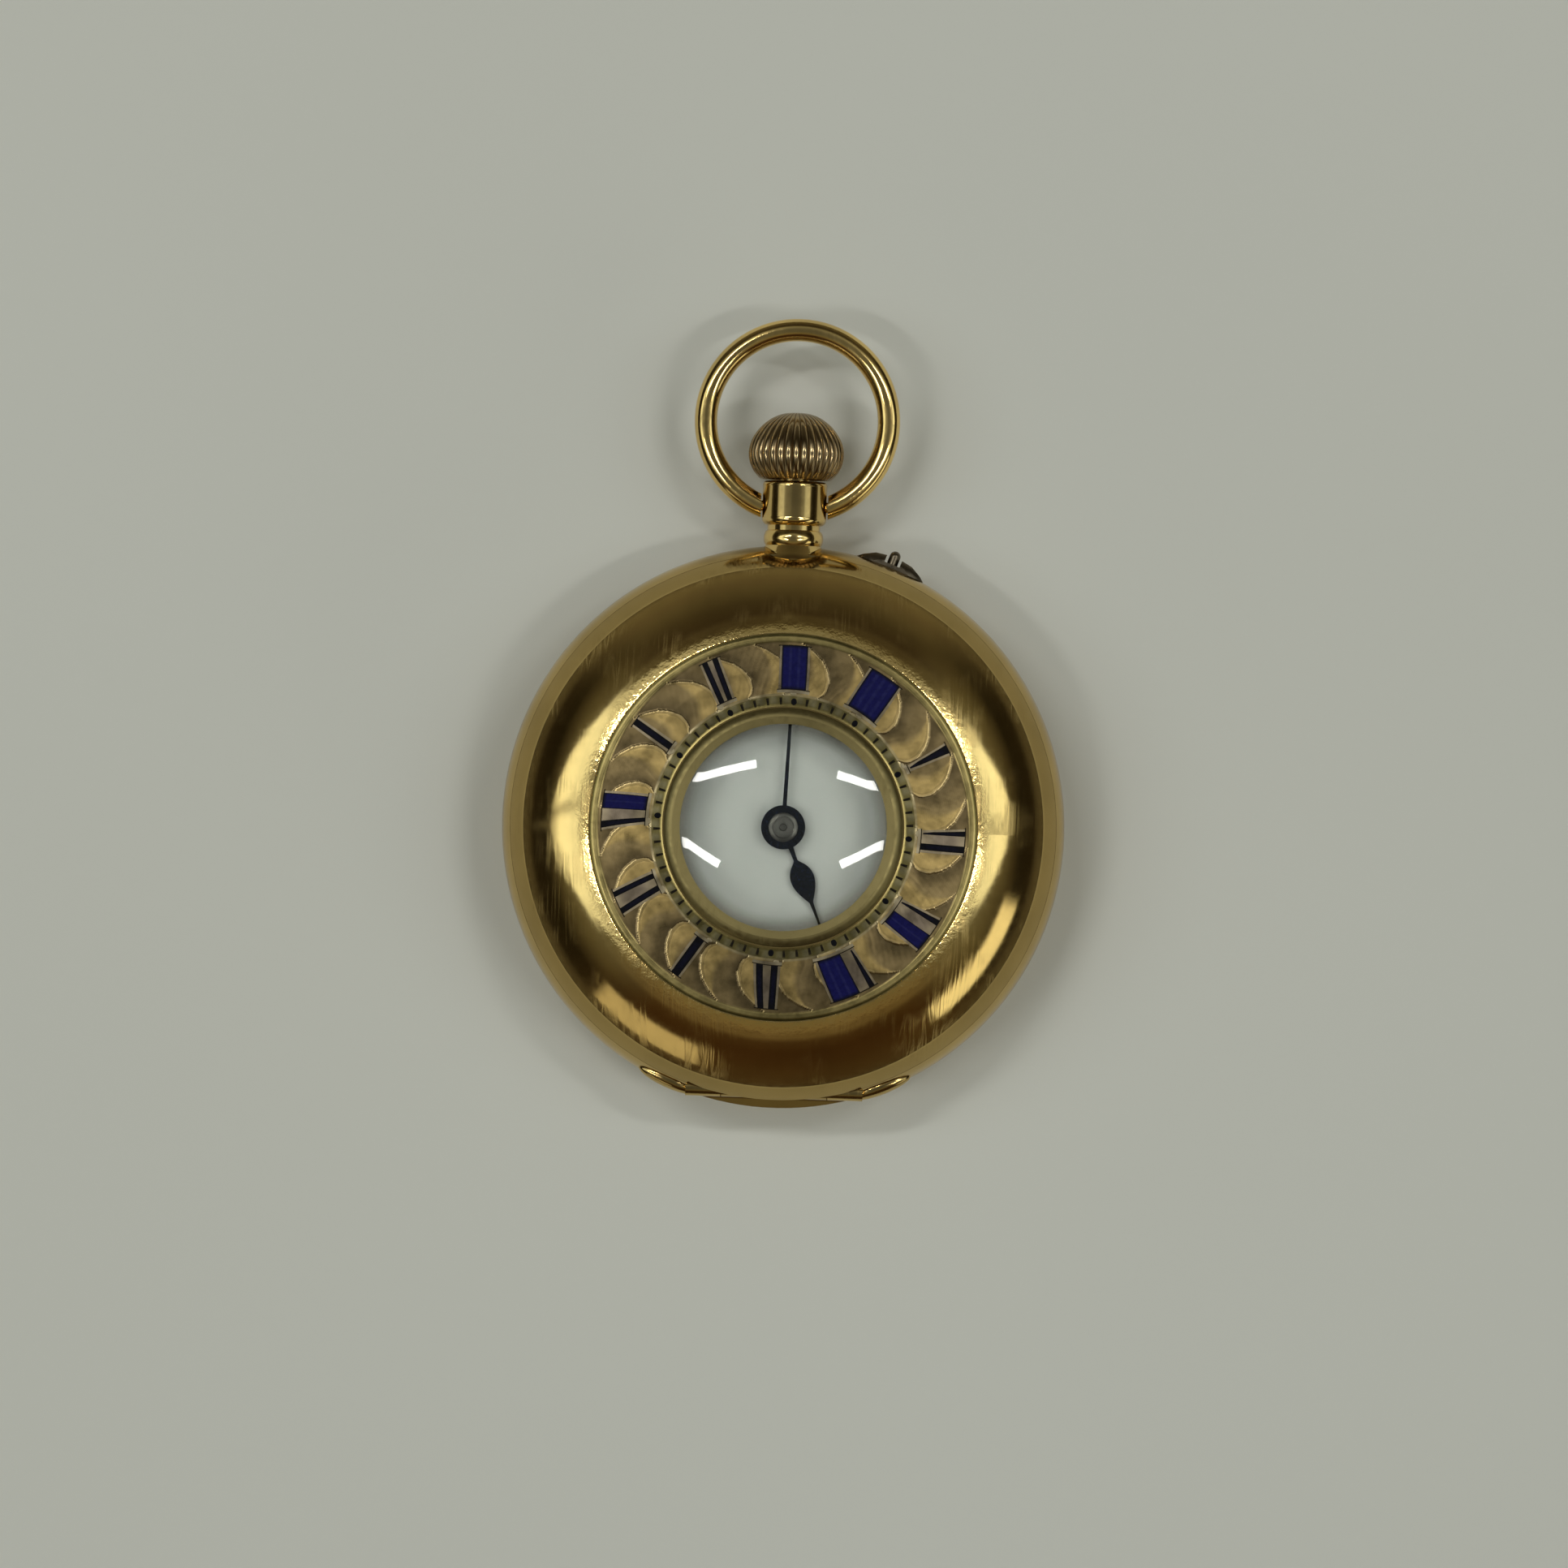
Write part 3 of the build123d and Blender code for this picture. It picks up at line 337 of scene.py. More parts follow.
# four tubes: they give the four white bars on the domed window glass
for name, p0, p1, power in (
    ("tube_far_left", (-0.165, 0.388), (-0.63, 0.312), 20.0),
    ("tube_far_right", (0.34, 0.325), (0.64, 0.255), 20.0),
    ("tube_near_left", (-0.40, -0.236), (-0.70, -0.075), 20.0),
    ("tube_near_right", (0.352, -0.236), (0.68, -0.110), 20.0),
):
    tube(name, (p0[0] * H, p0[1] * H), (p1[0] * H, p1[1] * H), 0.056 * H, H + 0.011, power, (1.0, 0.99, 0.95))

def world():
    """A dim brown room with a pale glow low down all round and two bright wedge
    shaped stretches of white ceiling, left and right, that taper to a point."""
    w = bpy.data.worlds.new("studio")
    scene.world = w
    w.use_nodes = True
    nt = w.node_tree
    nt.nodes.clear()
    N = nt.nodes.new
    L = nt.links.new

    def put(sock, v):
        if isinstance(v, bpy.types.NodeSocket):
            L(v, sock)
        else:
            sock.default_value = v

    def m(op, a, b=0.0):
        n = N("ShaderNodeMath")
        n.operation = op
        put(n.inputs[0], a)
        put(n.inputs[1], b)
        return n.outputs[0]

    def soft(v, a, b):
        n = N("ShaderNodeMapRange")
        n.interpolation_type = "SMOOTHSTEP"
        put(n.inputs["Value"], v)
        n.inputs["From Min"].default_value = a
        n.inputs["From Max"].default_value = b
        return n.outputs["Result"]

    def ramp(v, stops):
        n = N("ShaderNodeValToRGB")
        el = n.color_ramp.elements
        while len(el) < len(stops):
            el.new(0.5)
        for e, (p, c) in zip(el, stops):
            e.position = p
            e.color = (*c, 1.0)
        put(n.inputs[0], v)
        return n.outputs[0]

    def mix(f, a, b):
        n = N("ShaderNodeMix")
        n.data_type = "RGBA"
        put(n.inputs[0], f)
        put(n.inputs[6], a if isinstance(a, bpy.types.NodeSocket) else (*a, 1.0))
        put(n.inputs[7], b if isinstance(b, bpy.types.NodeSocket) else (*b, 1.0))
        return n.outputs[2]

    co = N("ShaderNodeTexCoord")
    sep = N("ShaderNodeSeparateXYZ")
    L(co.outputs["Generated"], sep.inputs[0])
    ct, st = math.cos(TURN), math.sin(TURN)
    x = m("ADD", m("MULTIPLY", sep.outputs[0], ct), m("MULTIPLY", sep.outputs[1], st))
    y = m("SUBTRACT", m("MULTIPLY", sep.outputs[1], ct), m("MULTIPLY", sep.outputs[0], st))
    z = sep.outputs[2]
    flat = m("SQRT", m("ADD", m("MULTIPLY", x, x), m("MULTIPLY", y, y)))
    flat = m("MAXIMUM", flat, 0.001)
    side = m("ABSOLUTE", m("DIVIDE", x, flat))
    fore = m("DIVIDE", y, flat)
    head = ramp(z, [(0.0, (0.125, 0.115, 0.085)), (0.09, (0.115, 0.106, 0.073)), (0.21, (0.096, 0.085, 0.060)), (0.34, (0.078, 0.071, 0.048)),
                    (0.53, (0.046, 0.040, 0.026)), (0.68, (0.035, 0.028, 0.018)), (0.77, (0.065, 0.058, 0.040)), (0.823, (0.20, 0.205, 0.175)),
                    (0.87, (0.21, 0.225, 0.205)), (0.95, (0.13, 0.135, 0.13)), (1.0, (0.10, 0.105, 0.10))])
    foot = ramp(z, [(0.0, (0.050, 0.036, 0.020)), (0.21, (0.050, 0.033, 0.016)), (0.34, (0.044, 0.026, 0.012)), (0.55, (0.039, 0.021, 0.009)),
                    (0.68, (0.050, 0.031, 0.014)), (0.766, (0.17, 0.142, 0.088)), (0.86, (0.150, 0.142, 0.090)), (0.93, (0.11, 0.112, 0.10)),
                    (1.0, (0.10, 0.105, 0.10))])
    flank = ramp(z, [(0.0, (0.090, 0.085, 0.065)), (0.07, (0.055, 0.050, 0.036)), (0.16, (0.016, 0.013, 0.008)), (0.36, (0.013, 0.011, 0.007)),
                     (0.47, (0.045, 0.040, 0.026)), (0.60, (0.09, 0.085, 0.06)), (0.85, (0.14, 0.145, 0.13)), (1.0, (0.10, 0.105, 0.10))])
    room = mix(soft(fore, -0.35, 0.35), foot, head)
    room = mix(soft(side, 0.55, 0.90), room, flank)
    # the two wedges of bright ceiling
    zz = m("MAXIMUM", z, 0.05)
    u = m("DIVIDE", x, zz)
    v = m("DIVIDE", y, zz)
    au = m("ABSOLUTE", u)
    is_right = m("GREATER_THAN", u, 0.0)

    def edge(stops):
        grey = ramp(m("MULTIPLY", au, 0.4), [(p * 0.4, (h, h, h)) for p, h in stops])
        part = N("ShaderNodeSeparateColor")
        L(grey, part.inputs[0])
        return part.outputs[0]

    def either(left, right):
        return m("ADD", left, m("MULTIPLY", is_right, m("SUBTRACT", right, left)))

    upper = either(edge([(0.2, 0.68), (0.55, 0.64), (0.95, 0.52), (1.30, 0.49), (1.55, 0.38), (2.1, 0.04)]),
                   edge([(0.4, 0.55), (0.70, 0.465), (1.0, 0.375), (1.35, 0.30), (1.55, 0.18), (1.8, 0.0)]))
    lower = m("MULTIPLY", either(edge([(0.45, 0.48), (0.71, 0.45), (1.0, 0.375), (1.36, 0.25), (1.88, 0.13), (2.1, 0.02)]),
                                 edge([(0.50, 0.43), (0.75, 0.39), (1.02, 0.32), (1.37, 0.155), (1.6, 0.06), (1.8, 0.0)])), -1.0)
    wedge = m("MULTIPLY", soft(m("SUBTRACT", upper, v), -0.04, 0.05), soft(m("SUBTRACT", v, lower), -0.04, 0.05))
    is_far = m("GREATER_THAN", v, 0.0)
    start = m("SUBTRACT", 0.45, m("MULTIPLY", m("MULTIPLY", m("SUBTRACT", 1.0, is_right), is_far), 0.25))
    wedge = m("MULTIPLY", wedge, soft(m("SUBTRACT", au, start), -0.05, 0.06))
    wedge = m("MULTIPLY", wedge, soft(z, 0.10, 0.20))
    crack = m("ABSOLUTE", m("SUBTRACT", v, either(0.10, 0.0)))
    seam = m("MULTIPLY", m("SUBTRACT", 1.0, soft(crack, 0.015, 0.05)), soft(au, 0.70, 0.95))
    dim = m("MULTIPLY", m("SUBTRACT", 1.0, soft(m("ABSOLUTE", m("SUBTRACT", v, either(0.03, 0.0))), 0.14, 0.34)),
            m("SUBTRACT", 1.0, soft(au, 0.62, 1.0)))
    wedge = m("MULTIPLY", wedge, m("SUBTRACT", 1.0, m("MULTIPLY", dim, 0.85)))
    wedge = m("MULTIPLY", wedge, m("SUBTRACT", 1.0, m("MULTIPLY", seam, 0.7)))
    bright = ramp(m("MULTIPLY", au, 0.5), [(0.0, (0.36, 0.39, 0.39)), (0.27, (0.40, 0.44, 0.44)), (0.35, (0.68, 0.75, 0.75)), (0.42, (1.10, 1.22, 1.23)), (0.56, (1.22, 1.33, 1.31)),
                                             (0.69, (1.22, 1.31, 1.27)), (0.80, (0.80, 0.85, 0.80)), (0.94, (0.42, 0.44, 0.40)), (1.0, (0.15, 0.15, 0.13))])
    room = mix(wedge, room, bright)
    # two low pale windows towards the lower right and the lower left
    azim = m("ARCTAN2", x, y)
    for a0, a1, z0, z1, col in ((109.0, 141.0, 0.23, 0.46, (1.02, 1.02, 0.86)), (-160.0, -132.0, 0.10, 0.42, (0.50, 0.47, 0.36))):
        f = m("MULTIPLY", soft(azim, math.radians(a0 - 1.5), math.radians(a0 + 1.5)), m("SUBTRACT", 1.0, soft(azim, math.radians(a1 - 1.5), math.radians(a1 + 1.5))))
        f = m("MULTIPLY", f, m("MULTIPLY", soft(z, z0 - 0.02, z0 + 0.02), m("SUBTRACT", 1.0, soft(z, z1 - 0.03, z1 + 0.03))))
        room = mix(f, room, col)
    lit = N("ShaderNodeBackground")
    L(room, lit.inputs[0])
    seen = N("ShaderNodeBackground")
    seen.inputs[0].default_value = (0.50, 0.51, 0.46, 1.0)
    path = N("ShaderNodeLightPath")
    ms = N("ShaderNodeMixShader")
    out = N("ShaderNodeOutputWorld")
    L(path.outputs["Is Camera Ray"], ms.inputs[0])
    L(lit.outputs[0], ms.inputs[1])
    L(seen.outputs[0], ms.inputs[2])
    L(ms.outputs[0], out.inputs[0])


world()


# ------------------------------------------------------------------ materials
def blued(name, color=(0.020, 0.035, 0.16), rough=0.22, coat=0.35):
    g = G(name)
    n = g.noise(900.0, 3.0)
    g.set(Base_Color=g.ramp(n, [(0.3, tuple(c * 0.55 for c in color)), (0.7, color)]), Metallic=1.0)
    g.put(g.p.inputs["Roughness"], g.maprange(g.noise(5200.0, 2.0), 0.3, 0.7, rough * 0.8, rough * 1.3))
    g.p.inputs["Coat Weight"].default_value = coat
    g.p.inputs["Coat Roughness"].default_value = 0.12
    g.put(g.p.inputs["Normal"], g.bump(g.noise(3000.0, 2.0), 0.08, 0.00002))
    return g.mat


def steel(name, color=(0.62, 0.62, 0.60), rough=0.16, grain=(1, 0, 0)):
    g = G(name)
    v = g.mapped(scale=(9000.0 if grain[0] else 350.0, 9000.0 if grain[1] else 350.0, 900.0))
    lines = g.noise(1.0, 3.0, 0.6, v)
    n = g.noise(500.0, 3.0)
    g.set(Base_Color=g.ramp(n, [(0.3, tuple(c * 0.8 for c in color)), (0.7, color)]), Metallic=1.0)
    g.put(g.p.inputs["Roughness"], g.maprange(lines, 0.3, 0.7, rough * 0.8, rough * 1.5))
    g.put(g.p.inputs["Normal"], g.bump(lines, 0.12, 0.00001))
    return g.mat


def frosted_gilt(name, color=(0.86, 0.60, 0.25), rough=0.38):
    """Old watch plates: fine grained, fire gilt, dull gold."""
    g = G(name)
    grain = g.noise(11000.0, 3.0, 0.7)
    big = g.noise(420.0, 3.0)
    c = g.ramp(big, [(0.3, tuple(x * 0.80 for x in color)), (0.7, color)])
    g.set(Base_Color=c, Metallic=1.0)
    g.put(g.p.inputs["Roughness"], g.maprange(big, 0.3, 0.7, rough * 1.15, rough * 0.85))
    g.put(g.p.inputs["Normal"], g.bump(grain, 0.35, 0.000012))
    return g.mat


def circular_grain(name, color, centre, rough=0.22, rings=9000.0):
    """Brass turned round its own centre: fine rings seen as a satin streak."""
    g = G(name)
    x, y, z = g.sep(g.co)[:3]
    dx = g.math("SUBTRACT", x, centre[0] * MM)
    dy = g.math("SUBTRACT", y, centre[1] * MM)
    r = g.math("SQRT", g.math("ADD", g.math("MULTIPLY", dx, dx), g.math("MULTIPLY", dy, dy)))
    n = g.noise(1.0, 2.0, 0.6, g.comb(g.math("MULTIPLY", r, rings), g.math("MULTIPLY", z, 600.0), 0.0))
    big = g.noise(400.0, 2.0)
    g.set(Base_Color=g.ramp(big, [(0.3, tuple(c * 0.8 for c in color)), (0.7, color)]), Metallic=1.0)
    g.put(g.p.inputs["Roughness"], g.maprange(n, 0.3, 0.7, rough * 0.7, rough * 1.5))
    g.put(g.p.inputs["Normal"], g.bump(n, 0.16, 0.00001))
    return g.mat


def sunburst(name, color, centre, rough=0.2, rays=150.0):
    """Polished winding wheels with snailed or sunray finish round their centre."""
    g = G(name)
    x, y, z = g.sep(g.co)[:3]
    dx = g.math("SUBTRACT", x, centre[0] * MM)
    dy = g.math("SUBTRACT", y, centre[1] * MM)
    r = g.math("SQRT", g.math("ADD", g.math("MULTIPLY", dx, dx), g.math("MULTIPLY", dy, dy)))
    a = g.math("ARCTAN2", dy, dx)
    twist = g.math("ADD", g.math("MULTIPLY", a, rays / TAU), g.math("MULTIPLY", r, 2200.0))
    n = g.noise(1.0, 2.0, 0.6, g.comb(g.math("SINE", g.math("MULTIPLY", a, 1.0)), g.math("MULTIPLY", r, 300.0), 0.0))
    w = g.math("SINE", g.math("MULTIPLY", twist, TAU))
    fine = g.noise(6000.0, 2.0)
    g.set(Base_Color=g.ramp(fine, [(0.3, tuple(c * 0.85 for c in color)), (0.7, color)]), Metallic=1.0)
    g.put(g.p.inputs["Roughness"], g.math("ADD", g.maprange(n, 0.3, 0.7, rough * 0.8, rough * 1.3), g.math("MULTIPLY", w, 0.02)))
    g.put(g.p.inputs["Normal"], g.bump(w, 0.10, 0.000012))
    return g.mat


def enamel(name):
    g = G(name)
    n = g.noise(180.0, 3.0)
    # painted shade: a mid grey, darker than white enamel, for the dial's deep well under the lid
    g.set(Base_Color=g.ramp(n, [(0.3, (0.515, 0.525, 0.505)), (0.7, (0.55, 0.56, 0.54))]))
    g.put(g.p.inputs["Roughness"], g.maprange(g.noise(700.0, 2.0), 0.3, 0.7, 0.10, 0.2))
    g.p.inputs["Coat Weight"].default_value = 0.5
    g.p.inputs["Coat Roughness"].default_value = 0.05
    g.put(g.p.inputs["Normal"], g.bump(g.noise(300.0, 2.0), 0.05, 0.0001))
    return g.mat


def ruby(name):
    g = G(name)
    n = g.noise(2500.0, 2.0)
    g.set(Base_Color=g.ramp(n, [(0.3, (0.55, 0.015, 0.04)), (0.7, (0.80, 0.03, 0.09))]), Roughness=0.06)
    g.p.inputs["Coat Weight"].default_value = 1.0
    g.p.inputs["Coat Roughness"].default_value = 0.03
    g.p.inputs["IOR"].default_value = 1.76
    return g.mat


def glass(name, tint=(0.94, 0.955, 0.935), edge=None):
    g = G(name)
    faint = g.noise(900.0, 2.0)
    tone = g.ramp(faint, [(0.3, tuple(t * 0.995 for t in tint)), (0.7, tint)])
    if edge is not None:
        # painted shade: darker towards its fitted edge, where the bezel shades the dial, between two radii (mm)
        x, y, z = g.sep(g.co)[:3]
        rad = g.math("MULTIPLY", g.math("SQRT", g.math("ADD", g.math("MULTIPLY", x, x), g.math("MULTIPLY", y, y))), 1000.0)
        tone = g.mix(g.maprange(rad, edge[0], edge[1], 0.0, 1.0, True), tone, edge[2])
    g.set(Base_Color=tone, Roughness=0.0)
    g.p.inputs["Transmission Weight"].default_value = 1.0
    g.p.inputs["IOR"].default_value = 1.45
    return g.mat


GOLD = (0.93, 0.66, 0.25)
M = {
    # painted shade: the case band is the lid's gold darkened to about 0.6
    "case_band": gold("gold_case_band", (0.56, 0.395, 0.15), 0.14, 0.6, 0.3, 0.85),
    # the lid's rim beyond about 16 mm gets the painted shade of gold(): colour times 0.48
    "lid": gold("gold_front_lid", GOLD, 0.095, 1.0, 1.7, 0.85, (11.95, 12.65), (15.85, 16.25, 0.48)),
    "guard": gold("gold_dark_guard", (0.20, 0.165, 0.115), 0.30, 0.5, 3.3, 0.7),
    "back": gold("gold_back", GOLD, 0.12, 0.8, 2.9),
    "dust": gold("gold_dust_cover", (0.90, 0.62, 0.25), 0.10, 0.7, 4.4),
    # painted shade: the neck's gold is a little darker than the lid's
    "neck": gold("gold_neck", (0.82, 0.58, 0.22), 0.10, 0.4, 5.3),
    "bow": gold("gold_bow", GOLD, 0.12, 0.5, 6.1),
    "small": gold("gold_small_parts", GOLD, 0.14, 0.4, 7.7),
    "bezel": gold("gold_bezels", GOLD, 0.10, 0.4, 8.2),
    "window_bezel": gold("gold_window_bezel", (0.28, 0.228, 0.096), 0.42, 1.2, 5.9, 0.8),
    "crown": gold("gold_crown", (0.80, 0.52, 0.20), 0.20, 0.5, 9.6, 0.6),
    "blue_hand": blued("blued_hands", (0.010, 0.016, 0.036), 0.24, 0.0),
    "blue_screw": blued("blued_screws", (0.022, 0.045, 0.26), 0.16),
    "steel": steel("steel_polished"),
    "steel_work": steel("steel_grained", (0.55, 0.55, 0.54), 0.24, (0, 1, 0)),
    "gilt": frosted_gilt("gilt_plates"),
    "gilt_dark": frosted_gilt("gilt_main_plate", (0.78, 0.53, 0.22), 0.42),
    "ruby": ruby("ruby_jewels"),
    "enamel": enamel("enamel_dial"),
    # painted shade: both glasses are tinted grey so the dial seen through them reads darker
    "glass_window": glass("glass_window", (0.78, 0.795, 0.775), (5.35, 6.40, (0.50, 0.49, 0.44))),
    "glass_main": glass("glass_main", (0.90, 0.915, 0.90)),
    "pinion": steel("steel_pinion", (0.58, 0.58, 0.57), 0.14, (0, 1, 0)),
}


def dress(node, *mats):
    o = NODES[node]
    o.data.materials.clear()
    for m in mats:
        o.data.materials.append(m)
    for p in o.data.polygons:
        p.material_index = 0
    return o


def centre_of(node):
    lo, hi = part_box(node)
    return ((lo.x + hi.x) / 2 / MM, (lo.y + hi.y) / 2 / MM)


for n in ("case_middle",):
    dress(n, M["case_band"])
for n in ("front_cover", "chapter_ring"):
    dress(n, M["lid"])
dress("back_cover", M["back"])
dress("dust_cover", M["dust"])
for n in ("pendant", "set_pin_guard", "push_sleeve", "set_pin"):
    dress(n, {"pendant": M["neck"], "push_sleeve": M["small"]}.get(n, M["guard"]))
dress("bow", M["bow"])
dress("crown", M["crown"])
dress("inner_bezel", M["bezel"])
dress("window_bezel", M["window_bezel"])
dress("window_glass", M["glass_window"])
dress("main_glass", M["glass_main"])
for n in ("window_glass", "main_glass"):
    NODES[n].visible_shadow = False
dress("dial", M["enamel"])
for n in ("minute_hand", "hour_hand"):
    dress(n, M["blue_hand"])
for n in ("bridge_screws", "case_screws"):
    dress(n, M["blue_screw"])
dress("ratchet_screw", M["steel"])
dress("crown_wheel_screw", M["steel"])
dress("jewels", M["ruby"])
dress("main_plate", M["gilt_dark"])
for n in ("barrel_bridge", "train_bridge", "balance_cock", "pallet_cock"):
    dress(n, M["gilt"])
for n in ("click", "click_spring", "yoke", "yoke_spring", "lift_spring", "lock_spring", "regulator_index",
          "front_hinge_pin", "back_hinge_pin", "dust_cover_hinge_pin"):
    dress(n, M["steel_work"])
for n in ("winding_stem", "winding_pinion", "sliding_pinion", "cannon_pinion", "minute_wheel", "setting_wheel",
          "barrel_arbor", "balance_staff", "pallet_fork", "escape_wheel"):
    dress(n, M["pinion"])
dress("hairspring", M["blue_screw"])
dress("mainspring", M["steel_work"])
for n in ("ratchet_wheel", "crown_wheel"):
    dress(n, sunburst("steel_" + n, (0.60, 0.60, 0.585), centre_of(n), 0.18, 120.0))
for n in ("center_wheel", "third_wheel", "fourth_wheel", "hour_wheel", "barrel_drum", "barrel_lid", "balance_wheel"):
    dress(n, circular_grain("brass_" + n, (0.88, 0.66, 0.30), centre_of(n)))

left = sorted(n for n, o in NODES.items() if o.data.materials and not o.data.materials[0].name.startswith(
    ("gold", "blued", "steel", "gilt", "ruby", "enamel", "glass", "brass")))
print("nodes without a finish:", left)




# ------------------------------------------------- the engraved chapter ring
def lerp(x, pts):
    if x <= pts[0][0]:
        return pts[0][1]
    for (x0, y0), (x1, y1) in zip(pts, pts[1:]):
        if x <= x1:
            return y0 + (y1 - y0) * (x - x0) / (x1 - x0)
    return pts[-1][1]


def smooth01(t):
    t = max(0.0, min(1.0, t))
    return t * t * (3 - 2 * t)


def blend(a, b, t):
    return tuple(x + (y - x) * t for x, y in zip(a, b))


def at(angle, r, z):
    """A point in metres: angle in degrees clockwise from the top of the picture."""
    f = TURN + math.radians(90.0 - angle)
    return (r * math.cos(f) * MM, r * math.sin(f) * MM, z * MM)


RING_TOP = [(7.45, 10.155), (9.80, 10.075), (11.94, 9.925)]
EDGE = [(8.10, -1.0), (8.19, 0.0), (8.50, 2.2), (8.79, 3.0), (9.35, 2.8), (10.05, 0.8), (10.55, -1.7), (11.10, -6.0), (11.45, -9.5)]
BACK = [(8.10, -9.3), (8.64, -8.5), (9.20, -6.3), (9.60, -5.7), (10.30, -5.9), (11.00, -7.0), (11.45, -9.6)]
# painted reflection and painted shade: the crescents' bright moons, rims and half tones, and the dark shade between
# them
MOON_PAINTED_HIGHLIGHT = (0.62, 0.450, 0.180)
MOON_RIM_PAINTED_HIGHLIGHT = (0.60, 0.46, 0.23)
SHADE = (0.185, 0.138, 0.070)
HALF_PAINTED_LIGHT = (0.34, 0.252, 0.120)
TRACK = (0.20, 0.168, 0.064)
BORDER = (0.42, 0.340, 0.140)


def engraving(angle, r):
    """Height below the ring's top (mm) and colour of the engine turned ring; the crescents' bright and dark bands are
    painted reflection and painted shade.
    """
    if r < 7.58:
        k = smooth01((r - 7.50) / 0.06)
        return 0.03 * k, blend(BORDER, TRACK, k)
    if r < 8.14:
        w = 0.5 + 0.5 * math.cos(math.radians(angle - 4.6) * 60)
        lit = smooth01((r - 7.60) / 0.1) * smooth01((8.14 - r) / 0.1)
        return 0.03 - 0.012 * (1 - w) * lit, blend(TRACK, (0.28, 0.25, 0.145), (1 - w) * 0.75 * lit)
    if r > 11.62:
        t = smooth01((r - 11.78) / 0.06)
        return 0.0 + 0.045 * t, blend(BORDER, (0.11, 0.092, 0.03), t)
    if r > 11.40:
        t = smooth01((r - 11.42) / 0.08)
        return 0.035 * (1 - t), blend((0.18, 0.14, 0.06), BORDER, t)
    e, c = lerp(r, EDGE), lerp(r, BACK)
    d = (angle - e) % 15.0 - 15.0        # 0 at the sharp edge, going back to -15
    start = c - e                        # where the moon begins, as the same measure
    if d > start:
        t = (d - start) / max(0.3, -start)
        depth = 0.018 - 0.018 * smooth01(t * 1.5)
        col = blend(HALF_PAINTED_LIGHT, MOON_PAINTED_HIGHLIGHT, smooth01(t * 2.4))
        if d > -1.0:
            col = blend(col, MOON_RIM_PAINTED_HIGHLIGHT, smooth01((d + 1.0) / 0.45))
            depth -= 0.006 * smooth01((d + 1.0) / 0.5)
        elif d > -1.9:
            col = blend(col, HALF_PAINTED_LIGHT, 0.55 * (1 - abs(d + 1.45) / 0.45))
            depth += 0.006 * (1 - abs(d + 1.45) / 0.45)
    else:
        t = (d + 15.0) / (start + 15.0)
        depth = 0.050 - 0.032 * t
        col = blend(SHADE, HALF_PAINTED_LIGHT, smooth01(t) ** 0.9)
    near = smooth01((r - 8.14) / 0.10)
    depth = depth * near + 0.02 * (1 - near)
    line = smooth01((0.10 - abs(r - 8.20)) / 0.07)
    col = blend(col, (0.50, 0.43, 0.26), 0.7 * line)
    return depth + 0.006, col


def ring_mesh():
    steps, rows = 1440, 66
    r0, r1 = 7.46, 11.93
    verts, faces, cols = [], [], []
    radii = [r0 + (r1 - r0) * j / (rows - 1) for j in range(rows)]
    for j, r in enumerate(radii):
        base = lerp(r, RING_TOP)
        for i in range(steps):
            a = 360.0 * i / steps
            depth, col = engraving(a, r)
            verts.append(at(a, r, base - depth))
            cols.append(col)
    for j in range(rows - 1):
        for i in range(steps):
            n = (i + 1) % steps
            faces.append((j * steps + i, (j + 1) * steps + i, (j + 1) * steps + n, j * steps + n))
    first = len(verts)
    for r in (r1, r0):
        for i in range(steps):
            verts.append(at(360.0 * i / steps, r, 9.80))
            cols.append(BORDER)
    top_out, bot_out, bot_in = (rows - 1) * steps, first, first + steps
    for i in range(steps):
        n = (i + 1) % steps
        faces.append((top_out + i, bot_out + i, bot_out + n, top_out + n))
        faces.append((bot_out + i, bot_in + i, bot_in + n, bot_out + n))
        faces.append((bot_in + i, i, n, bot_in + n))
    me = bpy.data.meshes.new("ring_engraved")
    me.from_pydata(verts, [], faces)
    att = me.color_attributes.new("tone", "FLOAT_COLOR", "POINT")
    att.data.foreach_set("color", [v for c in cols for v in (*c, 1.0)])
    for p in me.polygons:
        p.use_smooth = True
    me.update()
    o = bpy.data.objects.new("ring_engraved", me)
    scene.collection.objects.link(o)
    bm = bmesh.new()
    bm.from_mesh(me)
    bmesh.ops.recalc_face_normals(bm, faces=bm.faces)
    bm.to_mesh(me)
    bm.free()
    sharpen(o, 40)
    return o


g = G("gold_engine_turned")
tone = g.node("ShaderNodeAttribute", attribute_name="tone").outputs["Color"]
x, y, z = g.sep(g.co)[:3]
rad = g.math("MULTIPLY", g.math("SQRT", g.math("ADD", g.math("MULTIPLY", x, x), g.math("MULTIPLY", y, y))), 1000.0)
ang = g.math("ARCTAN2", y, x)
mottle = g.noise(900.0, 4.0, 0.6)
tone2 = g.mix(1.0, tone, g.ramp(mottle, [(0.25, (0.78, 0.76, 0.70)), (0.72, (1.06, 1.05, 1.02))]), "MULTIPLY")
# painted light: the ring is a little brighter at the two sides than at the head and the foot
side_light = g.math("COSINE", g.math("MULTIPLY", g.math("SUBTRACT", ang, TURN), 2.0))
grey = g.comb(*[g.math("ADD", 1.04, g.math("MULTIPLY", side_light, k)) for k in (0.26, 0.26, 0.26)])
tone2 = g.mix(1.0, tone2, grey, "MULTIPLY")
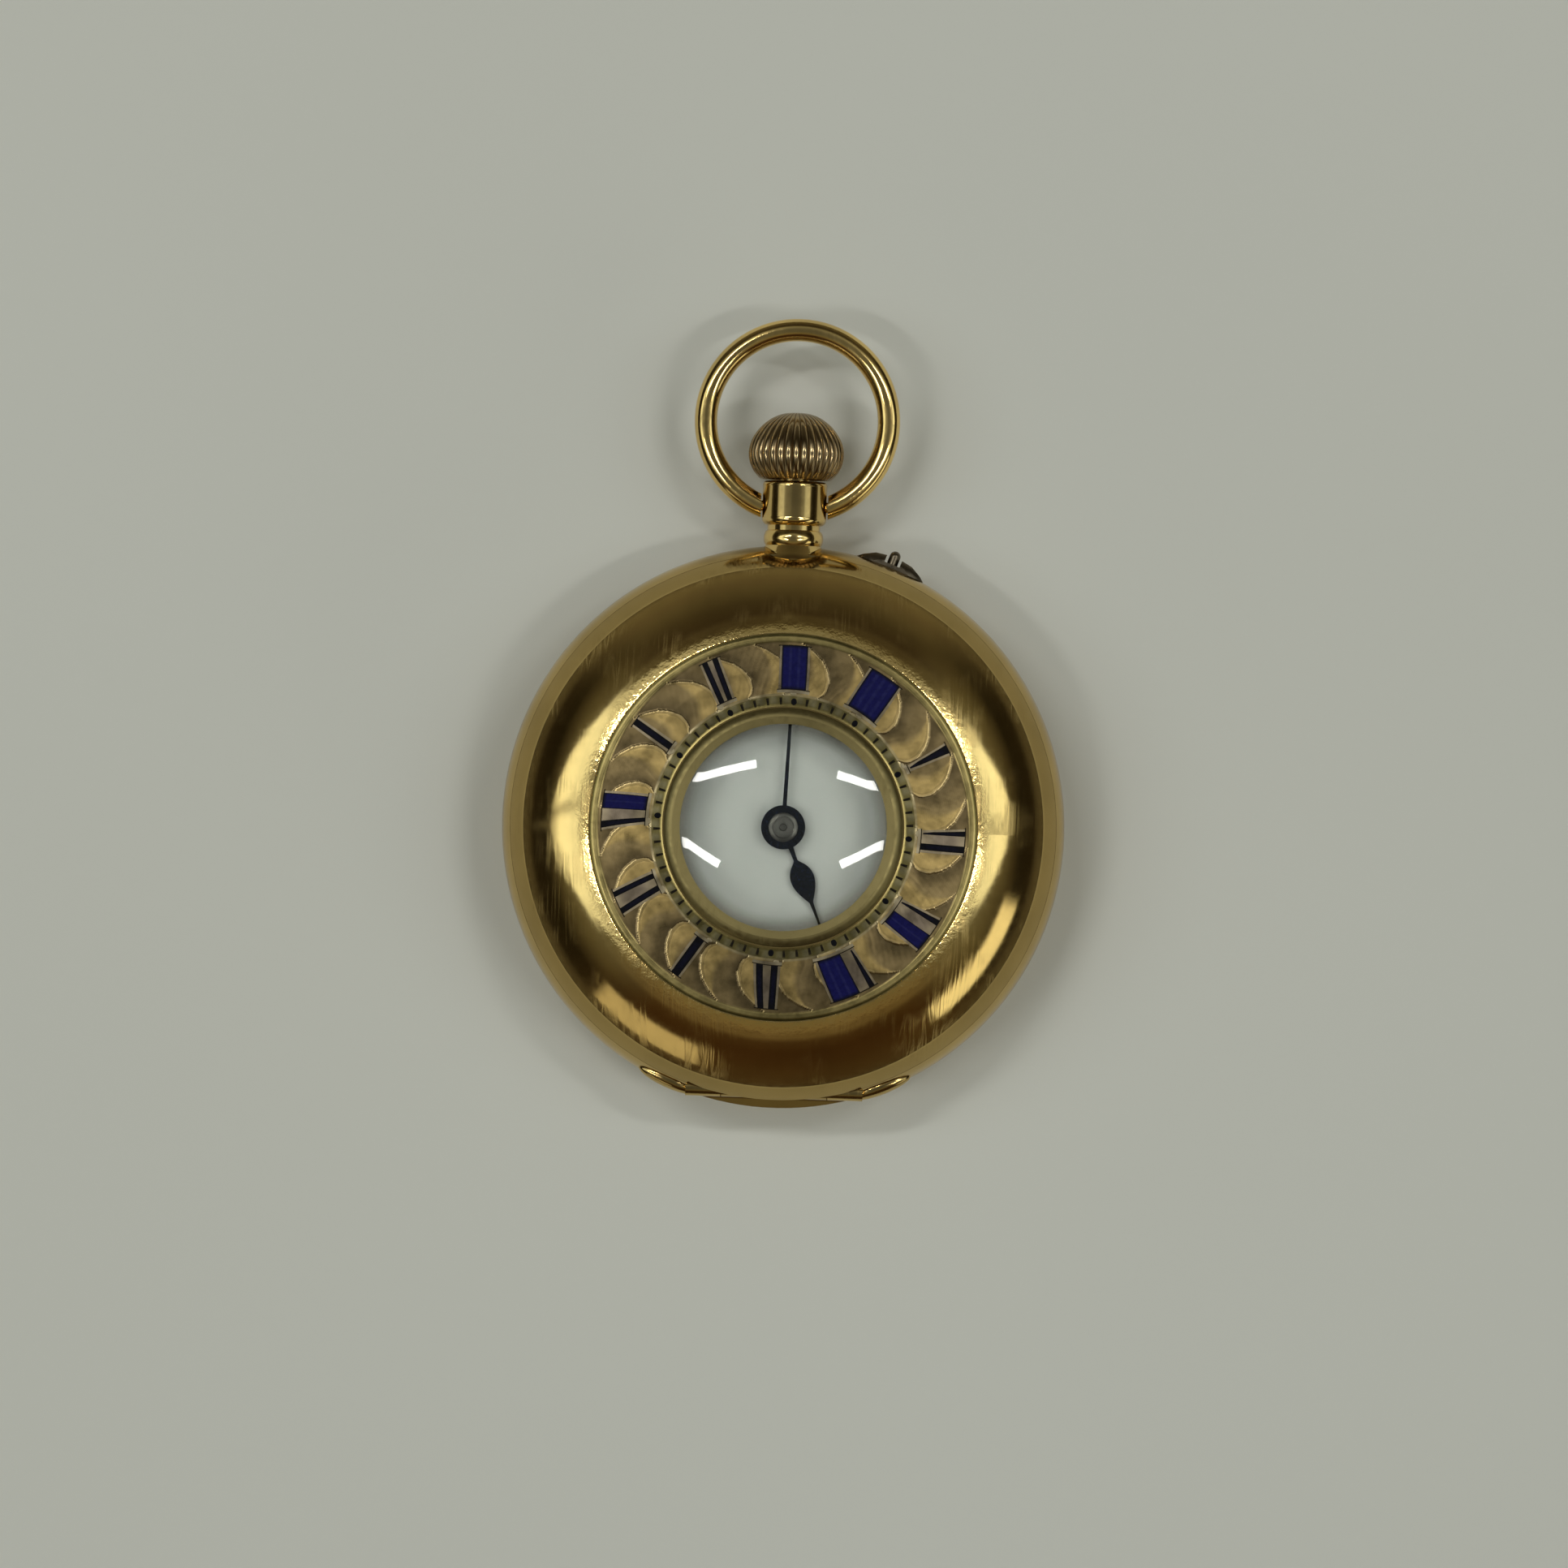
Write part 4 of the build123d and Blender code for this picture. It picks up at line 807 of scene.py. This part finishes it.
# the tool's fine parallel cuts run along the curved flank of each crescent
cut = g.math("SINE", g.math("ADD", g.math("MULTIPLY", ang, 24.0 * 7.0), g.math("MULTIPLY", rad, 9.0)))
rings = g.math("SINE", g.math("MULTIPLY", rad, TAU / 0.085))
both = g.math("ADD", g.math("MULTIPLY", cut, 0.6), g.math("MULTIPLY", rings, 0.4))
g.set(Base_Color=tone2, Metallic=1.0)
g.put(g.p.inputs["Roughness"], g.maprange(mottle, 0.3, 0.7, 0.27, 0.40))
g.put(g.p.inputs["Normal"], g.bump(g.math("ADD", both, g.math("MULTIPLY", mottle, 2.5)), 0.10, 0.000010))
M["engraved"] = g.mat
ring = ring_mesh()
ring.data.materials.append(M["engraved"])
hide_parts("chapter_ring")
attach(ring, "front_lid")


# ------------------------------------ numerals, serifs and minute marks on it
PX = 20.0              # picture pixels per millimetre at the height of the ring
R_IN, R_OUT = 170.5 / PX, 224.5 / PX
# each stroke: angles at the inner end, angles at the outer end, strokes in the block
NUMERALS = [
    [((-0.9, 9.4), (-0.2, 7.9), 3)],
    [((27.9, 41.0), (29.2, 39.7), 4)],
    [((64.6, 65.2), (63.1, 65.9), 1)],
    [((92.2, 92.8), (91.3, 93.0), 1), ((96.5, 99.2), (96.1, 98.2), 1)],
    [((122.0, 122.6), (120.7, 122.7), 1), ((126.8, 132.9), (126.3, 132.1), 2)],
    [((150.8, 151.4), (149.8, 151.7), 1), ((155.8, 165.8), (155.0, 163.9), 3)],
    [((182.2, 185.0), (182.7, 184.8), 1), ((188.4, 191.3), (186.2, 188.1), 1)],
    [((214.8, 218.4), (215.2, 217.9), 1)],
    [((243.0, 245.4), (241.7, 243.6), 1), ((248.5, 250.7), (247.5, 249.2), 1)],
    [((272.4, 274.1), (269.9, 272.1), 1), ((277.0, 282.9), (276.1, 281.0), 2)],
    [((304.2, 307.1), (304.5, 306.7), 1)],
    [((332.8, 335.0), (333.5, 335.3), 1), ((336.3, 338.5), (337.0, 338.8), 1)],
]
DOTS = (4.9, 34.6, 65.2, 95.3, 125.8, 156.3, 185.6, 215.8, 245.7, 275.5, 304.9, 335.2)
INK_AND_EDGE_SHADE = (0.0012, 0.0011, 0.0030)
BLUE = (0.0050, 0.0052, 0.0820)
LINE = (0.0150, 0.0165, 0.1000)
PALE = (0.42, 0.345, 0.235)
LILAC = (0.235, 0.190, 0.150)


class Plates:
    """Collects thin raised plates laid out in polar terms into one mesh."""

    def __init__(self, name):
        self.name, self.v, self.f, self.c = name, [], [], []

    def plate(self, inner, outer, r0, r1, z_of, up, down, tone, cols=1, rows=1):
        base = len(self.v)
        for j in range(rows + 1):
            t = j / rows
            r = r0 + (r1 - r0) * t
            lo = inner[0] + (outer[0] - inner[0]) * t
            hi = inner[1] + (outer[1] - inner[1]) * t
            for i in range(cols + 1):
                s = i / cols
                self.v.append(at(lo + (hi - lo) * s, r, z_of(r) + up))
                self.c.append(tone(s, t) if callable(tone) else tone)
        w = cols + 1
        for j in range(rows):
            for i in range(cols):
                a = base + j * w + i
                self.f.append((a, a + w, a + w + 1, a + 1))
        rim = ([base + i for i in range(w)] + [base + j * w + cols for j in range(1, rows + 1)]
               + [base + rows * w + i for i in range(cols - 1, -1, -1)] + [base + j * w for j in range(rows - 1, 0, -1)])
        low = len(self.v)
        for k in rim:
            p = self.v[k]
            self.v.append((p[0], p[1], p[2] - (up + down) * MM))
            self.c.append(self.c[k])
        n = len(rim)
        for k in range(n):
            m = (k + 1) % n
            self.f.append((rim[k], rim[m], low + m, low + k))
        self.f.append(tuple(low + k for k in range(n)))

    def disc(self, angle, r, ru, rr, z, up, down, tone, n=20):
        """An oval button: ru across, rr along the radius, with a soft edge."""
        base = len(self.v)
        f = TURN + math.radians(90.0 - angle)
        cx, cy = r * math.cos(f), r * math.sin(f)
        ux, uy = math.sin(f), -math.cos(f)
        rx, ry = math.cos(f), math.sin(f)
        for level, (k, h) in enumerate(((0.55, up), (0.9, up * 0.8), (1.0, up * 0.3), (1.0, -down))):
            for i in range(n):
                q = TAU * i / n
                a, b = ru * k * math.cos(q), rr * k * math.sin(q)
                self.v.append(((cx + ux * a + rx * b) * MM, (cy + uy * a + ry * b) * MM, (z + h) * MM))
                self.c.append(tone)
        for level in range(3):
            for i in range(n):
                m = (i + 1) % n
                a, b = base + level * n, base + (level + 1) * n
                self.f.append((a + i, b + i, b + m, a + m))
        self.f.append(tuple(base + i for i in range(n)))
        self.f.append(tuple(base + 3 * n + i for i in range(n - 1, -1, -1)))

    def build(self, mat, body, smooth=False):
        me = bpy.data.meshes.new(self.name)
        me.from_pydata(self.v, [], self.f)
        att = me.color_attributes.new("tone", "FLOAT_COLOR", "POINT")
        att.data.foreach_set("color", [x for c in self.c for x in (*c, 1.0)])
        me.update()
        bm = bmesh.new()
        bm.from_mesh(me)
        bmesh.ops.recalc_face_normals(bm, faces=bm.faces)
        bm.to_mesh(me)
        bm.free()
        o = bpy.data.objects.new(self.name, me)
        scene.collection.objects.link(o)
        if smooth:
            for p in me.polygons:
                p.use_smooth = True
            sharpen(o, 50)
        me.materials.append(mat)
        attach(o, body)
        return o


g = G("enamel_numerals")
tone = g.node("ShaderNodeAttribute", attribute_name="tone").outputs["Color"]
spots = g.noise(5200.0, 3.0)
g.set(Base_Color=g.mix(1.0, tone, g.ramp(spots, [(0.3, (0.80, 0.80, 0.85)), (0.7, (1.25, 1.25, 1.2))]), "MULTIPLY"))
g.put(g.p.inputs["Roughness"], g.maprange(spots, 0.3, 0.7, 0.34, 0.46))
g.p.inputs["Specular IOR Level"].default_value = 0.12
g.put(g.p.inputs["Normal"], g.bump(spots, 0.12, 0.00001))
M["enamel_numerals"] = g.mat


def ring_z(r):
    return lerp(r, RING_TOP)


def block_tone(strokes):
    def tone(s, t):
        # painted shade: each enamel block goes near black towards its edges, along the cell walls
        edge = min(s, 1 - s, t * 1.6, (1 - t) * 1.6)
        if strokes == 1:
            return blend(INK_AND_EDGE_SHADE, (0.002, 0.002, 0.012), smooth01((edge - 0.15) / 0.2))
        inner = blend(INK_AND_EDGE_SHADE, BLUE, smooth01(edge / 0.10))
        k = min(abs(s - (i + 1) / strokes) for i in range(strokes - 1))
        wave = 0.75 + 0.25 * math.sin(t * 21.0 + s * 9.0)
        return blend(inner, LINE, wave * smooth01((0.075 - k) / 0.05) * smooth01(edge / 0.08))
    return tone


numerals = Plates("ring_numerals")
metal = Plates("ring_numeral_edges")
for group in NUMERALS:
    lo_in = min(s[0][0] for s in group)
    hi_in = max(s[0][1] for s in group)
    lo_out = min(s[1][0] for s in group)
    hi_out = max(s[1][1] for s in group)
    for (i0, i1), (o0, o1), strokes in group:
        if i1 - i0 < 1.0:
            # the pointed foot of a V: narrow at once, nearly full width soon after
            m = 0.26
            r_m = R_IN + (R_OUT - R_IN) * m
            mid = ((i0 + o0) / 2 * 0.9 + i0 * 0.1, (i1 + o1) / 2 * 0.9 + i1 * 0.1)
            numerals.plate((i0, i1), mid, R_IN + 0.10, r_m, ring_z, 0.020, 0.05, block_tone(1), 6, 4)
            numerals.plate(mid, (o0, o1), r_m, R_OUT, ring_z, 0.020, 0.05, block_tone(1), 6, 8)
        else:
            numerals.plate((i0, i1), (o0, o1), R_IN, R_OUT, ring_z, 0.020, 0.05, block_tone(strokes),
                           6 if strokes == 1 else 14 * strokes, 12)
        pad_in, pad_out = 0.16 / R_IN * 57.3, 0.13 / R_OUT * 57.3
        metal.plate((i0 - pad_in, i1 + pad_in), (o0 - pad_out, o1 + pad_out), R_IN + 0.02, R_OUT - 0.02, ring_z, 0.004, 0.04, PALE, 4, 6)
    if len(group) == 2:
        a, b = group
        metal.plate((a[0][1], b[0][0]), (a[1][1], b[1][0]), R_IN + 0.02, R_OUT - 0.04, ring_z, 0.008, 0.04,
                    lambda s, t: blend(PALE, LILAC, smooth01(1.5 - abs(t - 0.55) * 3.0) * 0.85), 6, 12)
    # serifs: a thin dark line at both ends with a bright cut beside it
    s_in, s_out = 0.25 / R_IN * 57.3, 0.22 / R_OUT * 57.3
    numerals.plate((lo_in - s_in, hi_in + s_in), (lo_in - s_in, hi_in + s_in), R_IN - 0.035, R_IN + 0.025, ring_z, 0.014, 0.05, (0.02, 0.014, 0.006), 8, 1)
    numerals.plate((lo_out - s_out, hi_out + s_out), (lo_out - s_out, hi_out + s_out), R_OUT - 0.03, R_OUT + 0.035, ring_z, 0.014, 0.05, (0.02, 0.014, 0.006), 8, 1)
    metal.plate((lo_in - s_in, hi_in + s_in), (lo_in - s_in, hi_in + s_in), R_IN - 0.22, R_IN - 0.035, ring_z, 0.006, 0.05,
                lambda s, t: blend((0.36, 0.30, 0.20), (0.56, 0.48, 0.33), smooth01(abs(s - 0.5) * 2.2)), 8, 1)
for a in DOTS:
    numerals.disc(a, 155.2 / PX, 0.175, 0.215, ring_z(7.8) - 0.03, 0.035, 0.04, INK_AND_EDGE_SHADE)
    metal.disc(a - 2.6 * (1 if int(a) % 2 else 0.2), 165.5 / PX, 0.19, 0.11, ring_z(8.25) - 0.03, 0.022, 0.04, (0.58, 0.50, 0.33))
for k in range(60):
    d = DOTS[k // 5]
    e = DOTS[(k // 5 + 1) % 12] + (360 if k // 5 == 11 else 0)
    if k % 5 == 0:
        continue
    a = d + (e - d) * (k % 5) / 5
    h = 0.085 / 7.8 * 57.3
    numerals.plate((a - h * 0.75, a + h * 0.75), (a - h, a + h), 151.5 / PX, 160.3 / PX, ring_z, -0.012, 0.05,
                   lambda s, t: blend((0.030, 0.022, 0.006), (0.006, 0.004, 0.002), smooth01(1 - abs(t - 0.5) * 1.6)), 4, 4)
numerals.build(M["enamel_numerals"], "front_lid")
metal.build(M["engraved"], "front_lid")


# ------------------------------------------------ the fluted onion crown
def spline(pts, n):
    """Catmull-Rom through the points, n steps to each span."""
    out = []
    p = [pts[0]] + list(pts) + [pts[-1]]
    for k in range(1, len(p) - 2):
        a, b, c, d = p[k - 1], p[k], p[k + 1], p[k + 2]
        for i in range(n):
            t = i / n
            out.append(tuple(0.5 * (2 * b[m] + (c[m] - a[m]) * t + (2 * a[m] - 5 * b[m] + 4 * c[m] - d[m]) * t * t
                                    + (3 * b[m] - a[m] - 3 * c[m] + d[m]) * t ** 3) for m in range(len(b))))
    out.append(tuple(pts[-1]))
    return out


lo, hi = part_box("crown")
AXIS_Z = (lo.z + hi.z) / 2 / MM
AXIS_X = (lo.x + hi.x) / 2 / MM


def fluted_crown():
    flutes, steps = 34, 34 * 14
    outer = spline([(25.785, 0.30), (25.74, 0.75), (25.60, 1.22), (25.34, 1.70), (24.95, 2.18), (24.45, 2.58), (23.90, 2.86),
                    (23.25, 2.985), (22.65, 2.90), (22.20, 2.70), (21.95, 2.52), (21.72, 2.30), (21.63, 2.18)], 6)
    verts, faces = [], []
    apex = len(verts)
    verts.append((AXIS_X * MM, 25.795 * MM, AXIS_Z * MM))
    rings = []
    for y, r in outer:
        depth = lerp(y, [(21.63, 0.02), (21.95, 0.09), (22.4, 0.15), (23.6, 0.17), (24.7, 0.13), (25.4, 0.065), (25.72, 0.01), (25.79, 0.0)])
        row = []
        for i in range(steps):
            q = TAU * i / steps
            k = abs(math.cos(q * flutes / 2)) ** 0.75
            rr = r - depth * (1 - k)
            row.append(len(verts))
            verts.append(((AXIS_X + rr * math.sin(q)) * MM, y * MM, (AXIS_Z + rr * math.cos(q)) * MM))
        rings.append(row)
    for y, r in ((21.64, 2.12), (21.70, 2.075), (22.32, 2.075), (22.33, 1.2), (22.33, 0.45)):
        row = []
        for i in range(steps):
            q = TAU * i / steps
            row.append(len(verts))
            verts.append(((AXIS_X + r * math.sin(q)) * MM, y * MM, (AXIS_Z + r * math.cos(q)) * MM))
        rings.append(row)
    for i in range(steps):
        faces.append((apex, rings[0][(i + 1) % steps], rings[0][i]))
    for a, b in zip(rings, rings[1:]):
        for i in range(steps):
            m = (i + 1) % steps
            faces.append((a[i], a[m], b[m], b[i]))
    # closed at the stem
    end = len(verts)
    verts.append((AXIS_X * MM, 22.33 * MM, AXIS_Z * MM))
    for i in range(steps):
        faces.append((rings[-1][i], rings[-1][(i + 1) % steps], end))
    me = bpy.data.meshes.new("crown_fluted")
    me.from_pydata(verts, [], faces)
    me.update()
    bm = bmesh.new()
    bm.from_mesh(me)
    bmesh.ops.recalc_face_normals(bm, faces=bm.faces)
    bm.to_mesh(me)
    bm.free()
    for p in me.polygons:
        p.use_smooth = True
    o = bpy.data.objects.new("crown_fluted", me)
    scene.collection.objects.link(o)
    sharpen(o, 48)
    return o


crown = fluted_crown()
g = G("gold_crown_fluted")
x, y, z = g.sep(g.co)[:3]
dz = g.math("SUBTRACT", z, AXIS_Z * MM)
rad = g.math("SQRT", g.math("ADD", g.math("MULTIPLY", x, x), g.math("MULTIPLY", dz, dz)))
turn = g.math("ARCTAN2", dz, x)
groove = g.math("ABSOLUTE", g.math("COSINE", g.math("MULTIPLY", g.math("SUBTRACT", turn, math.pi / 2), 17.0)))
groove_dark = g.maprange(groove, 0.05, 0.6, 1.0, 0.0, True)
big = g.noise(700.0, 4.0, 0.6)
# the crown's gold is dark brown: partly worn gilt, partly painted shade for the dark room it reflects; darker and
# rougher down in the flute grooves
metal_c = g.ramp(big, [(0.28, (0.30, 0.215, 0.110)), (0.70, (0.44, 0.325, 0.175))])
g.set(Base_Color=g.mix(g.math("MULTIPLY", groove_dark, 0.75), metal_c, (0.13, 0.085, 0.04)), Metallic=1.0)
g.put(g.p.inputs["Roughness"], g.math("ADD", g.maprange(g.noise(2600.0, 3.0), 0.3, 0.7, 0.12, 0.24), g.math("MULTIPLY", groove_dark, 0.25)))
g.put(g.p.inputs["Normal"], g.bump(g.noise(3000.0, 3.0), 0.12, 0.00002))
crown.data.materials.append(g.mat)
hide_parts("crown")
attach(crown, "crown_and_stem")


# ------------------------------------------ polished cap in the middle of the hands
def cap(name, cx, cy, z, profile, mat, body, steps=96):
    """A turned button standing on z: profile is (radius, height) from the rim to the middle."""
    verts, faces, rings = [], [], []
    for r, h in profile:
        rings.append([len(verts) + i for i in range(steps)])
        for i in range(steps):
            q = TAU * i / steps
            verts.append(((cx + r * math.cos(q)) * MM, (cy + r * math.sin(q)) * MM, (z + h) * MM))
    for a, b in zip(rings, rings[1:]):
        for i in range(steps):
            m = (i + 1) % steps
            faces.append((a[i], a[m], b[m], b[i]))
    top = len(verts)
    verts.append((cx * MM, cy * MM, (z + profile[-1][1]) * MM))
    low = len(verts)
    verts.append((cx * MM, cy * MM, (z + profile[0][1]) * MM))
    for i in range(steps):
        m = (i + 1) % steps
        faces.append((rings[-1][i], rings[-1][m], top))
        faces.append((rings[0][m], rings[0][i], low))
    me = bpy.data.meshes.new(name)
    me.from_pydata(verts, [], faces)
    me.update()
    bm = bmesh.new()
    bm.from_mesh(me)
    bmesh.ops.recalc_face_normals(bm, faces=bm.faces)
    bm.to_mesh(me)
    bm.free()
    for p in me.polygons:
        p.use_smooth = True
    o = bpy.data.objects.new(name, me)
    scene.collection.objects.link(o)
    sharpen(o, 35)
    me.materials.append(mat)
    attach(o, body)
    return o


lo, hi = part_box("minute_hand")
cap("hands_cap", 0.0, 0.0, hi.z / MM, [(0.91, -0.02), (0.91, 0.035), (0.87, 0.065), (0.58, 0.090), (0.20, 0.100), (0.10, 0.100)],
    circular_grain("steel_hands_cap", (0.125, 0.120, 0.108), (0.0, 0.0), 0.30, 7000.0), "minute")


# ------------------------------------------------------ print on the dial
lo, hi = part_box("dial")
DIAL_Z = hi.z / MM


def dial_z(r):
    return DIAL_Z


PEND = math.degrees(TURN)    # the pendant, as a picture angle
print_ink = Plates("dial_print")
BLACK = (0.010, 0.010, 0.012)


def stroke(a, u0, u1, v0, v1, r0, r1):
    """Inner end spans u0..u1, outer end v0..v1, in millimetres across the numeral's own axis."""
    print_ink.plate((a + u0 / r0 * 57.2958, a + u1 / r0 * 57.2958), (a + v0 / r1 * 57.2958, a + v1 / r1 * 57.2958),
                    r0, r1, dial_z, 0.012, 0.008, BLACK, 2, 3)


def roman(text, a, r0, r1):
    thick, thin, gap = 0.40, 0.10, 0.24
    wide = {"I": thick, "V": 1.25, "X": 1.30}
    total = sum(wide[ch] for ch in text) + gap * (len(text) - 1)
    u = -total / 2
    ends = []
    for ch in text:
        w = wide[ch]
        if ch == "I":
            stroke(a, u, u + thick, u, u + thick * 1.08, r0, r1)
        elif ch == "V":
            m = u + w / 2
            stroke(a, m - thick * 0.35, m + thick * 0.25, u, u + thick, r0, r1)
            stroke(a, m - thin * 0.2, m + thin, u + w - thin, u + w, r0, r1)
        else:
            stroke(a, u + w - thick, u + w, u, u + thick, r0, r1)
            stroke(a, u, u + thin, u + w - thin, u + w, r0, r1)
        ends.append((u, u + w))
        u += w + gap
    lo_u, hi_u = -total / 2 - 0.12, total / 2 + 0.12
    for r in (r0, r1 - 0.07):
        k = 57.2958
        print_ink.plate((a + lo_u / r * k, a + hi_u / r * k), (a + lo_u / r * k, a + hi_u / r * k), r, r + 0.07, dial_z, 0.011, 0.008, BLACK, 10, 1)


for i, text in enumerate(("III", "IIII", "V", "VI", "VII", "VIII", "IX", "X", "XI", "XII", "I", "II")):
    roman(text, PEND + 30 * i, 8.7, 11.3)
for k in range(60):
    a = PEND + 6 * k
    w = 0.11 if k % 5 == 0 else 0.05
    print_ink.plate((a - w / 12.0 * 57.3, a + w / 12.0 * 57.3), (a - w / 12.6 * 57.3, a + w / 12.6 * 57.3), 12.02, 12.60, dial_z, 0.012, 0.008, BLACK, 1, 1)
for r in (11.98, 12.58):
    for k in range(60):
        print_ink.plate((k * 6.0, k * 6.0 + 6.0), (k * 6.0, k * 6.0 + 6.0), r, r + 0.05, dial_z, 0.011, 0.008, BLACK, 4, 1)
print_ink.build(M["enamel_numerals"], "case")


# ------------------------------------------------------------------ the end
bpy.context.view_layer.update()
